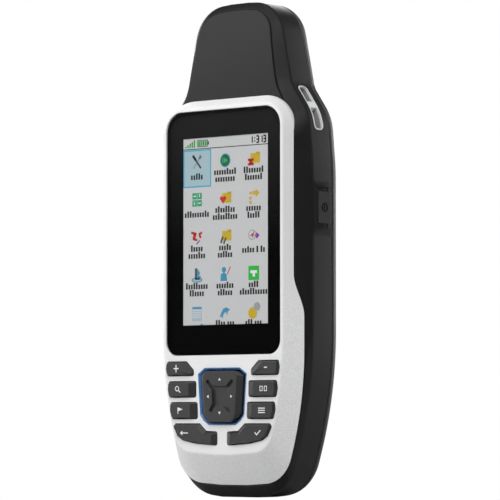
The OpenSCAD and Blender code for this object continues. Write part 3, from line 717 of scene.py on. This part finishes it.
def rocker():
    """The blue ring, the grooved pad and its four arrows."""
    n = len(OCTAGON)
    levels = [(OCTAGON, FACE_D + 1.5), (OCTAGON, FACE_D - 0.14), (shrink(OCTAGON, 0.25), FACE_D - 0.14),
              (shrink(OCTAGON, 0.85), FACE_D + 0.45), (shrink(OCTAGON, 0.85), FACE_D + 1.5)]
    verts = [(p[0], depth(d), p[1]) for pts, d in levels for p in pts]
    faces = [(j * n + i, j * n + (i + 1) % n, (j + 1) % 5 * n + (i + 1) % n, (j + 1) % 5 * n + i)
             for j in range(5) for i in range(n)]
    trim = mesh_object("rocker_trim", verts, faces)
    soften(trim, 0.1, 2, 20)
    place(trim, "housing", "blue_trim", blue_trim, "rocker_ring")

    base = shrink(OCTAGON, 1.3)
    half = [[6.4, 43.6], [7.9, 42.1], [6.95, 28.4], [6.2, 27.0], [5.0, 25.9]]
    top = [np.array(p, float) for p in half[::-1]] + [np.array([-x, z]) for x, z in half]
    levels = [(base, FACE_D + 1.7), (base, FACE_D - 0.1), (top, ROCKER_TOP)]
    cap = stacked("rocker_pad", levels)
    cut(cap, prism("groove", moved([GROOVE], 0, ROCKER_Z)[0], ROCKER_TOP - 1, ROCKER_TOP + 0.8))
    soften(cap, 0.2, 3, 20)
    place(cap, "rocker", "key_rubber", key_dark, "rocker_cap")
    arrow = [(0, 0.5), (-0.55, -0.4), (0.55, -0.4)]
    turns = [(0, 5.9, 0), (0, -5.7, 180), (-5.4, 0, 90), (5.4, 0, -90)]
    shapes = []
    for x, z, turn in turns:
        a = math.radians(turn)
        shapes.append([(x + u * math.cos(a) - v * math.sin(a),
                        ROCKER_Z + z + u * math.sin(a) + v * math.cos(a)) for u, v in arrow])
    arrows = slabs("rocker_arrows", shapes, ROCKER_TOP - 0.03, ROCKER_TOP + 0.1)
    place(arrows, "rocker", "key_rubber", legend)


rocker()


# ---- lens and display ----

LENS = tablet(LENS_W, LENS_Z0, LENS_Z1, 5, 7)
LENS_PROFILE = [(0.25, -1.3), (0.07, -1.23), (0, -1.1), (0.45, -1.1), (0.45, -0.22)]
lens = loft("cover_lens", [ring(inset(LENS, t), d) for t, d in LENS_PROFILE], 10)
place(lens, "housing", "lens_glass", lens_glass(), "screen_lens")

DISPLAY_TOP = DISPLAY_Z + DISPLAY_H / 2
DISPLAY_LOW = DISPLAY_Z - DISPLAY_H / 2
mask = loft("lens_border", [ring(inset(LENS, 0.02), d) for d in (-1.08, -0.02)])
cut(mask, loft("tray", [ring(inset(LENS, 0.43), d) for d in (-2, -0.19)]),
    prism("window", bar(0, DISPLAY_Z, DISPLAY_W, DISPLAY_H), -1, 1))
place(mask, "housing", "adhesive", border_print_and_painted_reflection(), "lens_gasket")

panel = prism("display_glass", bar(0, DISPLAY_Z, DISPLAY_W + 4, DISPLAY_H + 5), 0, 2.3)
place(panel, "housing", "display_glass", lens_black, "display_panel")


def clipped(shapes):
    """Only what lies inside the lit area, cut off at its lower edge."""
    out = []
    for shape in shapes:
        if max(p[1] for p in shape) <= DISPLAY_LOW:
            continue
        out.append([(p[0], max(p[1], DISPLAY_LOW)) for p in shape])
    return out


def patch(name, color, shapes, level):
    """Shapes of one colour on the lit display; a higher level lies further forward."""
    obj = slabs("screen_" + name, clipped(shapes), -0.01 - 0.02 * level, 0.005)
    place(obj, "housing", "display_glass", lit(name, times(color, SCREEN_LEVEL)))


def words(x, z, widths, seed):
    """A line of plain upright blocks in place of words, centred on x."""
    blocks = []
    total = sum(widths) * BLOCK_PITCH + (len(widths) - 1) * WORD_GAP
    u = x - total / 2
    k = seed
    for word in widths:
        for _ in range(word):
            k = (k * 7 + 3) % 11
            tall = 2.2 if k in (1, 4, 8) else 1.6
            blocks.append(bar(u + 0.46, z + tall / 2 - 0.7, 0.76, tall))
            u += BLOCK_PITCH
        u += WORD_GAP
    return blocks


SCREEN_LEVEL = 0.68                                 # brightness of the display
BLOCK_PITCH, WORD_GAP = 1.16, 0.7
PALE = (0.64, 0.645, 0.65)
INK = (0.012, 0.012, 0.014)
columns = [-DISPLAY_W / 3 - 0.05, 0.0, DISPLAY_W / 3]
rows = [DISPLAY_TOP - 8.4 - 13.15 * k for k in range(5)]
patch("ground", PALE, [bar(0, DISPLAY_Z, DISPLAY_W, DISPLAY_H)], 0)

cell = (columns[0] + 0.05, DISPLAY_TOP - 10.6)
patch("cell", (0.40, 0.56, 0.62), [bar(*cell, 12.7, 12.9)], 1)
patch("cell_frame", (0.02, 0.42, 0.62), frame_bars(*cell, 12.9, 13.1, 0.4), 2)
patch("status_line", (0.05, 0.05, 0.055), [bar(0, DISPLAY_TOP - 3.75, DISPLAY_W, 0.3)], 1)
patch("signal", (0.02, 0.36, 0.05),
      [bar(-18.4 + 1.0 * k, DISPLAY_TOP - 3.2 + 0.26 * (k + 1), 0.62, 0.52 * (k + 1)) for k in range(5)]
      + [bar(-12.2 + 1.05 * k, DISPLAY_TOP - 1.9, 0.8, 1.7) for k in range(4)], 2)
patch("battery_outline", INK, frame_bars(-10.6, DISPLAY_TOP - 1.9, 4.9, 2.4, 0.22)
      + [bar(-7.9, DISPLAY_TOP - 1.9, 0.5, 1.1)], 1)


def digit(x, z, strokes):
    """A seven-stroke number; strokes are numbered from the top, clockwise, with the middle last."""
    w, h, t = 1.0, 2.2, 0.55
    spots = [(0, h / 2, w, t), (w / 2, h / 4, t, h / 2), (w / 2, -h / 4, t, h / 2), (0, -h / 2, w, t),
             (-w / 2, -h / 4, t, h / 2), (-w / 2, h / 4, t, h / 2), (0, 0, w, t)]
    return [bar(x + spots[k][0], z + spots[k][1], *spots[k][2:]) for k in strokes]


clock_z = DISPLAY_TOP - 1.9
ONE, THREE = (1, 2), (0, 1, 2, 3, 6)
patch("clock", INK, digit(11.9, clock_z, ONE) + [bar(13.55, clock_z + k, 0.5, 0.5) for k in (-0.55, 0.55)]
      + digit(14.8, clock_z, THREE) + digit(16.4, clock_z, ONE) + digit(18.0, clock_z, THREE), 1)

# the lengths of the words under each icon, line by line
labels = [[(5,)], [(9,), (8,)], [(8,), (7,)],
          [(10,)], [(8,), (10,)], [(6,), (5,)],
          [(5,), (7,)], [(5,), (6,)], [(5, 1, 2)],
          [(9,), (6,)], [(7,), (6,)], [(4,), (11,)],
          [(7,)], [(4, 3), (4,)], [(3, 3), (4,)]]
ink = []
for i, lines in enumerate(labels):
    x, z = columns[i % 3], rows[i // 3]
    for j, line in enumerate(lines):
        drop = (5.4 if len(lines) == 1 else 4.2) + 2.45 * j
        ink += words(x, z - drop, line, i * 3 + j + 1)
patch("labels", INK, ink, 2)


def at_cell(column, row, shapes):
    """Shapes moved to an icon's place."""
    return moved(shapes, columns[column], rows[row])


folder = [bar(0.7, 0.1, 4.2, 3.4), bar(1.9, 1.9, 1.8, 0.6)]
heart = [[(-2.6, 0), (-1.7, 0.9), (-1.0, 0.3), (-0.3, 0.9), (0.6, 0), (-1.0, -1.9)]]
yellow = (at_cell(2, 0, folder) + at_cell(1, 1, folder) + at_cell(1, 2, folder)
          + at_cell(2, 1, [[(-0.6, 1.9), (0.9, 1.9), (0.9, 2.7), (2.6, 1.2), (0.9, -0.3), (0.9, 0.6),
                            (-0.6, 0.6)],
                           bar(-1.5, 1.2, 1.0, 1.0), bar(-1.5, -0.5, 1.0, 1.0), bar(-1.5, -2.0, 1.0, 1.0)])
          + at_cell(2, 4, [disc(-0.5, -0.6, 2.0)]))
patch("yellow", (0.62, 0.43, 0.02), yellow, 1)
patch("red", (0.55, 0.03, 0.02),
      at_cell(2, 0, [bar(-1.3, -0.4, 2.7, 0.8), bar(-1.3, -2.0, 2.7, 0.8), bar(-1.3, -1.2, 1.6, 1.6)])
      + at_cell(1, 1, heart)
      + at_cell(0, 2, [bar(-1.5, 1.5, 2.5, 0.9, -14), bar(-1.2, 0.4, 1.3, 2.0, -14),
                       bar(-0.9, -0.7, 2.1, 0.8, -14), bar(1.6, 1.4, 1.6, 0.8, 20),
                       bar(1.4, 0.4, 0.9, 1.5, 20)])
      + at_cell(2, 2, [[(-1.9, -0.4), (0.2, 1.0), (-0.4, -1.2), (-0.8, -0.3)]])
      + at_cell(1, 3, [bar(1.7, 1.2, 0.35, 3.0, -28)]), 2)
patch("violet", (0.30, 0.02, 0.40), at_cell(0, 2, [bar(0.5, -1.7, 2.0, 0.5, 40)])
      + at_cell(2, 2, [[(0.2, -0.3), (1.4, 0.8), (2.6, -0.3), (1.4, -1.4)]]), 1)
patch("green", (0.03, 0.36, 0.18),
      at_cell(0, 1, [bar(-1.15, 1.3, 2.1, 2.2), bar(1.15, 1.3, 2.1, 2.2), bar(-1.15, -1.2, 2.1, 2.2),
                     bar(1.15, -1.2, 2.1, 2.2)]), 1)
patch("bright_green", (0.02, 0.50, 0.06), at_cell(2, 3, [bar(0, 0, 4.8, 4.9)])
      + at_cell(1, 0, [[(-0.6, 1.0), (1.3, 0), (-0.6, -1.0)], bar(-1.1, 0, 0.4, 1.9)]), 2)
patch("teal_disc", (0.02, 0.10, 0.09), at_cell(1, 0, [disc(0, 0, 2.1)]), 1)
patch("teal_rim", (0.03, 0.40, 0.42), at_cell(1, 0, band(0, 0, 2.05, 2.4)), 2)
patch("white_marks", (0.85, 0.85, 0.85),
      at_cell(2, 3, [[(-1.5, 0.9), (1.5, 0.9), (1.5, -0.1), (0.6, -0.1), (0.6, -1.3), (-0.5, -1.3),
                      (-0.5, -0.1), (-1.5, -0.1)]])
      + at_cell(0, 1, [bar(-1.1, 1.3, 1.2, 0.35), bar(1.15, 1.5, 0.35, 1.2), bar(-1.2, -1.2, 0.35, 1.2),
                       bar(1.15, -1.2, 1.2, 0.35)])
      + at_cell(0, 4, [bar(-1.5 + 0.75 * k, 0.9 - 0.8 * j, 0.4, 0.4) for k in range(5) for j in range(4)]), 3)
patch("blue", (0.05, 0.30, 0.48),
      at_cell(1, 3, [disc(-0.6, 1.5, 1.0), [(-2.2, -2.4), (-2.0, 0.0), (-0.6, 0.6), (0.6, 0.0), (0.9, -2.4)]])
      + at_cell(0, 3, [disc(0, -1.7, 2.5, 24, 0.36), [(0.0, 2.4), (1.3, 1.0), (1.3, 0.2), (0.0, -0.4)],
                       bar(0.9, -0.9, 1.6, 1.3)])
      + at_cell(0, 4, [bar(0, 1.7, 4.4, 0.7)])
      + at_cell(1, 4, [[(-1.9, -0.4), (-0.9, 1.2), (0.6, 1.6), (2.3, 0.8), (1.1, 0.1), (-0.2, -0.2)],
                       [(-1.9, -0.4), (-0.2, -0.2), (-0.9, -0.9), (-1.1, -2.3), (-1.6, -1.5), (-2.5, -1.9)],
                       [(0.4, -0.2), (1.2, 0.2), (0.9, -1.2)]]), 1)
patch("pale_blue", (0.42, 0.52, 0.58), at_cell(0, 4, [bar(0, -0.8, 4.4, 4.2)])
      + at_cell(0, 3, [disc(0, -1.7, 1.9, 24, 0.3)]), 1.6)
patch("slate", (0.06, 0.075, 0.09),
      at_cell(0, 0, [bar(0, 0, 0.75, 5.6, 40), bar(-1.3, 1.6, 1.0, 2.2, 40)])
      + at_cell(1, 2, [bar(-1.5, -1.2, 0.7, 2.4, -25), bar(-0.2, -1.6, 0.7, 2.4, -25)])
      + at_cell(0, 3, [bar(-0.5, 0.4, 0.9, 4.0), bar(0.2, -1.3, 2.2, 0.7)]), 2)
patch("silver", (0.36, 0.37, 0.38), at_cell(0, 0, [bar(0, 0, 0.75, 5.4, -40), bar(1.5, 1.8, 1.3, 1.3, -40)])
      + at_cell(2, 4, [disc(1.5, 1.6, 1.5)]) + at_cell(2, 2, band(-0.7, 0, 1.5, 1.8)), 1.5)


# ---- case ----

def slot_frame():
    """The lanyard slot's middle, its outward direction and its own up."""
    up = np.array(SLOT_UP) / math.hypot(*SLOT_UP)
    return np.array(SLOT_PLACE), np.array([up[1], -up[0]]), up


def slot_block(name, grow, x0, x1, r=1.6):
    """A block with the slot's rounded mouth, drawn out along the slot's outward direction."""
    middle, out, up = slot_frame()
    half_l, half_w = 8.4 + grow, 2.0 + grow
    mouth = []
    for cx, cy, a0 in ((1, 1, 0), (-1, 1, 90), (-1, -1, 180), (1, -1, 270)):
        for k in range(9):
            a = math.radians(a0 + 90 * k / 8)
            mouth.append((cx * (half_l - r) + r * math.cos(a), cy * (half_w - r) + r * math.sin(a)))
    verts = []
    for x in (x0, x1):
        for t, w in mouth:
            p = middle + out * x + up * t
            verts.append((p[0], depth(SLOT_D) + w, p[1]))
    n = len(mouth)
    faces = [tuple(range(n)), tuple(range(2 * n - 1, n - 1, -1))]
    faces += [(i, i + n, (i + 1) % n + n, (i + 1) % n) for i in range(n)]
    return mesh_object(name, verts, faces)


def case_plug(t):
    """The case's side walls as a plain solid, moved in by t; used to trim what follows the side."""
    return loft("plug", [ring(inset(CASE, t), d) for d in (SHOULDER_D, PARTING_D)])


def power_block(name, z0, z1, top, slope0, slope1, setback=0.0):
    """A raised pad on the right wall, its front edge set back from the plane of the chamfer before it."""
    lean = (SHOULDER_D - BEVEL_D) / (HALF_W - FRONT_W)
    levels = [(HALF_W - 1.5, -1.5, 0), (HALF_W, 0, 0), (HALF_W + top, top, 1)]
    verts = []
    for x, up, at_top in levels:
        front = SHOULDER_D + 0.02 + lean * up + setback
        low, high = z0 + slope0 * at_top, z1 - slope1 * at_top
        rear = 16.2 - 0.5 * at_top
        verts += [(x, depth(d), z) for d, z in ((front, low), (rear, low), (rear, high), (front, high))]
    faces = [(0, 1, 2, 3), (11, 10, 9, 8)]
    for j in (0, 4):
        faces += [(j + i, j + (i + 1) % 4, j + 4 + (i + 1) % 4, j + 4 + i) for i in range(4)]
    return mesh_object(name, verts, faces)


BOSSES = [(15, 152), (27.45, 84), (20.3, 15.5)]     # the case screws: half width and height


def front_ring(t, d):
    """A ring inside the chamfer's front edge and behind it."""
    return ring(inset(FRONT, t), lambda z: front_d(z) + d)


def front_case():
    """The dark front half: a fine lip, a groove, the chamfer, the side wall and the power key's frame."""
    edge, shoulder = ring(FRONT, lambda z: front_d(z) + 0.06), ring(CASE, SHOULDER_D)
    rings = rounded([front_ring(1.2, 0.06), edge, front_ring(0.04, 0.3), front_ring(0.3, 0.55),
                     edge + (shoulder - edge) * 0.12, shoulder, ring(CASE, PARTING_D - 0.3),
                     ring(inset(CASE, 0.3), PARTING_D)], [0.12, 0.08, 0.1, 0.1, 0.6, 0.15], 6)
    body = loft("front_case_shell", rings, 50)
    cavity = loft("cavity", [front_ring(2, 2.3), ring(inset(CASE, 2), SHOULDER_D + 0.5),
                             ring(inset(CASE, 2), PARTING_D + 1)])
    opening = loop([[6, 7.6, 0], [21, 8.5, 10], [27.4, 33, 60], [26.6, 132, 5], [4, 132, 0]])
    window = loft("window", [ring(opening, d) for d in (-3, SHOULDER_D + 0.7)])
    cut(body, cavity, window, sharp=50)
    cut(body, slot_block("mouth", 0.4, -8.6, 8), sharp=50)
    low, high = 92.2, 106.3
    rail = [(depth(14.3), low), (depth(15.6), low), (depth(15.6), high), (depth(14.3), high)]
    cut(body, power_block("ramp_above", high - 0.1, 108.6, 1.05, 0.02, 2.2),
        power_block("ramp_below", 89.9, low + 0.1, 1.05, 2.2, 0.02),
        power_block("gap_floor", low, high, 0.7, 0, 0), prism("rail", rail, HALF_W - 1, HALF_W + 0.9, "x"),
        operation="UNION", sharp=50)
    place(body, "housing", "dark_shell", dark_shell, "front_case")


front_case()


def power_key():
    """The power key with its ring mark."""
    pad = power_block("power_pad", 93.6, 104.9, 1.0, 0.12, 0.12, 0.25)
    soften(pad, 0.15, 3, 15)
    place(pad, "power_key", "dark_shell", dark_shell, "power_key")
    # the power symbol: a near-black sheet painted where its engraved groove lies in shade
    marks = moved(band(0, 0, 1.2, 1.5) + [bar(0, 0, 0.3, 1.5)], depth(12.4), 99.3)
    icon = slabs("power_symbol", marks, HALF_W + 0.9, HALF_W + 1.07, "x")
    place(icon, "power_key", "dark_shell", groove_shade)


power_key()


def lanyard():
    """The grey slot insert, its pale rim and the bar across it."""
    tube = slot_block("lanyard_insert", 0.36, -8.3, 8)
    cut(tube, slot_block("hollow", 0, -7.5, 9, 1.3))
    rim = tube.copy()
    rim.data = tube.data.copy()
    bpy.context.scene.collection.objects.link(rim)
    rim.name = rim.data.name = "lanyard_rim"
    cut(tube, case_plug(0.75), operation="INTERSECT")
    cut(rim, case_plug(-0.12), operation="INTERSECT")
    cut(rim, case_plug(0.75))
    place(tube, "housing", "grey_insert", slot_grey, "lanyard_anchor")
    place(rim, "housing", "grey_insert", slot_rim)
    middle, out, up = slot_frame()
    half_h = 1.25
    section = [(-2.2, -half_h), (0.0, -half_h), (0.0, half_h), (-2.2, half_h)]
    rod = [tuple(middle + out * u + up * (v + 0.6)) for u, v in section]
    crossbar = slabs("lanyard_crossbar", [rod], SLOT_D - 2.1, SLOT_D + 2.1)
    soften(crossbar, 0.22)
    place(crossbar, "housing", "plated_steel", slot_rim, "lanyard_bar")


lanyard()


def back_shell():
    """The dark rear half with its screw wells and openings, and the seal at the parting line."""
    d0 = PARTING_D + SEAL_T
    profile = [(0.35, d0), (0, d0 + 0.35), (0.25, d0 + 1.7), (1.2, d0 + 3.2), (3.4, d0 + 5.1),
               (6.3, d0 + 7.7), (9, REAR_D), (11, REAR_D)]
    rings = rounded([ring(inset(CASE, t), d) for t, d in profile], [0.15, 0.6, 0.9, 1.2, 1.2, 1.4], 5)
    body = loft("rear_shell", rings, 40)
    cavity = loft("cavity", [ring(inset(CASE, t), d) for t, d in (
        (2, d0 - 0.5), (2.6, d0 + 2.1), (5.2, d0 + 4.3), (8.2, d0 + 6.5), (10, REAR_D - 2))])
    for x, z in BOSSES:
        for hand in (-1, 1):
            cut(cavity, turned("post", [(3.2, 0), (3.2, 12)], (hand * x, depth(d0 - 1), z), steps=32))
    cut(body, cavity, sharp=40)
    bay = prism("bay", tablet(16.8, 16.6, 79.4, 0.8, 0.8), d0 - 1, REAR_D + 1)
    sockets = prism("sockets", tablet(4.3, 89.3, 100, 0.6, 0.6), REAR_D - 5, REAR_D + 1)
    wells = [turned("well", [(2.2, 0), (2.2, 12)], (hand * x, depth(d0 + 3.1), z), steps=40)
             for x, z in BOSSES for hand in (-1, 1)]
    cut(body, bay, sockets, *wells, sharp=40)
    place(body, "housing", "dark_shell", dark_back, "back_shell")
    strip = loft("parting_seal", [ring(inset(CASE, 0.8), d) for d in (PARTING_D, d0)], 50)
    cut(strip, loft("hole", [ring(inset(CASE, 1.7), d) for d in (PARTING_D - 1, d0 + 1)]), sharp=50)
    place(strip, "housing", "seal_rubber", seal, "case_seal")


back_shell()


# ---- rear fittings ----

def rear_parts():
    """The battery cover with its grip and the dish of its lock, and the mounting spine."""
    d0 = REAR_D + 0.55
    cover = pillow("bay_cover", tablet(17.5, 13.5, 83, 8, 8), d0, COVER_D, 1.7, 7)
    inner = pillow("hollow", tablet(15.6, 15.4, 81.1, 6.1, 6.1), d0 - 1, COVER_D - 1.8, 1)
    grip = [prism("rib", bar(0, 66 + 2.2 * k, 22 - 1.6 * k, 0.9), COVER_D - 0.45, COVER_D + 1)
            for k in range(5)]
    cut(cover, inner, turned("hole", [(3.05, 0), (3.05, 12)], (0, depth(d0 - 2), LOCK_Z), steps=48), *grip)
    dish = turned("dish", [(6.6, -0.5), (7.4, 1.0)], (0, depth(COVER_D), LOCK_Z))
    cut(cover, dish)
    soften(cover, 0.18, 2, 35)
    place(cover, "battery_cover", "dark_shell", dark_back, "battery_cover")

    spine = pillow("mount_spine", tablet(11, 104, 130, 4, 4), REAR_D - 0.02, SPINE_D, 1.3, 6)
    rails = [prism("rail", bar(x, 112.5, 3.8, 19.2), SPINE_D - 6.5, SPINE_D - 3.2) for x in (-11, 11)]
    cut(spine, *rails, turned("hole", [(3.2, 0), (3.2, 12)], (0, depth(SPINE_D - 9), 117), steps=48))
    soften(spine, 0.25, 2, 35)
    place(spine, "housing", "dark_shell", dark_back, "mounting_spine")


rear_parts()

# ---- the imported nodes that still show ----

FINISH = {"plated_steel": steel, "spring_steel": bright_spring, "circuit_board": board_green,
          "gold_plate": gold, "copper_strip": copper, "ceramic_former": ceramic, "grey_insert": slot_grey,
          "bay_plastic": bay, "cell_jacket": cell_jacket, "socket_black": bay, "seal_rubber": seal,
          "adhesive": seal, "dark_shell": dark_back, "key_rubber": key_dark, "white_shell": white,
          "display_glass": lens_black, "lens_glass": lens_black, "blue_trim": blue_trim}
# nodes whose sharp edges are eased, by these widths
EASED = {"weather_cap": 0.35, "cap_lugs": 0.2, "lock_ring": 0.15, "cover_lock": 0.15, "case_screws": 0.12}
for part in frame["record"]["subparts"]:
    obj = frame["nodes"][part["node"]]
    for held in obj.material_slots:
        held.material = FINISH[part["material_slot"]]
    if part["node"] in EASED:
        bevel = obj.modifiers.new("eased", "BEVEL")
        bevel.width = EASED[part["node"]] * MM
        bevel.segments = 3
        bevel.limit_method = "ANGLE"
        bevel.angle_limit = math.radians(35)
        obj.modifiers.new("weighted", "WEIGHTED_NORMAL")


# ---- camera, light and floor ----

CAMERA_AZIMUTH, CAMERA_TILT, CAMERA_LENS = 41.037, -3.148, 229.24
CAMERA_PLACE = (0.728685, -0.837123, 0.02492)       # metres
LAMP_CENTRE = Vector((0, 0, 0.09))
# name, azimuth, elevation, distance, size and power
LAMPS = [("key_light", -40, 31, 1.4, 0.8, 5.6), ("low_light", -66, 9, 1.4, 0.6, 5.7),
         ("top_light", -10, 62, 1.3, 0.7, 4), ("side_light", 165, 9, 1.4, 0.8, 6.5),
         ("front_light", 48, 39, 1.4, 0.8, 10), ("back_light", 222, 24, 1.4, 0.9, 13)]


def direction(azimuth, elevation):
    """The direction from the object at these angles; azimuth 0 is straight in front."""
    a, e = math.radians(azimuth), math.radians(elevation)
    return Vector((math.sin(a) * math.cos(e), -math.cos(a) * math.cos(e), math.sin(e)))


def stand(name, data, location, away):
    """Puts a lamp or a camera in the scene, facing against a direction."""
    obj = bpy.data.objects.new(name, data)
    bpy.context.scene.collection.objects.link(obj)
    obj.location = location
    obj.rotation_mode = "QUATERNION"
    obj.rotation_quaternion = away.to_track_quat("Z", "Y")
    return obj


def camera():
    """A long lens a little below level, to the right of the front."""
    data = bpy.data.cameras.new("camera")
    data.sensor_width = 36
    data.lens = CAMERA_LENS
    data.clip_start, data.clip_end = 0.05, 40
    away = direction(CAMERA_AZIMUTH, CAMERA_TILT)
    bpy.context.scene.camera = stand("camera", data, CAMERA_PLACE, away)


def lamps():
    """Soft square lamps round the middle of the object."""
    for name, azimuth, elevation, distance, size, power in LAMPS:
        data = bpy.data.lights.new(name, "AREA")
        data.energy = power
        data.shape = "RECTANGLE"
        data.size = data.size_y = size
        away = direction(azimuth, elevation)
        stand(name, data, LAMP_CENTRE + away * distance, away)


def surroundings():
    """A dim world and a pale floor, both plain white where the camera sees them."""
    world = bpy.data.worlds.new("studio")
    bpy.context.scene.world = world
    world.use_nodes = True
    tree = world.node_tree
    plain = tree.nodes["Background"]
    set_inputs(tree, plain, {"Color": (0.9, 0.92, 0.95, 1), "Strength": 0.15})
    seen = add_node(tree, "Background", {"Color": (1, 1, 1, 1), "Strength": 1.0})
    blend_shaders(tree, add_node(tree, "LightPath").outputs["Is Camera Ray"], plain.outputs["Background"],
                  seen.outputs["Background"], "World Output")

    mesh = bpy.data.meshes.new("floor")
    reach, z = 6, -0.0004
    mesh.from_pydata([(-reach, -reach, z), (reach, -reach, z), (reach, reach, z), (-reach, reach, z)], [],
                     [(0, 1, 2, 3)])
    floor = bpy.data.objects.new("floor", mesh)
    bpy.context.scene.collection.objects.link(floor)
    mat, tree, bsdf = blank("floor")
    set_inputs(tree, bsdf, {"Base Color": (0.5, 0.5, 0.5, 1), "Roughness": 0.9, "Specular IOR Level": 0.0})
    pale = add_node(tree, "Emission", {"Color": (1, 1, 1, 1)})
    blend_shaders(tree, add_node(tree, "LightPath").outputs["Is Camera Ray"], bsdf.outputs["BSDF"],
                  pale.outputs["Emission"])
    floor.data.materials.append(mat)
    bpy.context.scene.view_settings.view_transform = "Standard"


camera()
lamps()
surroundings()
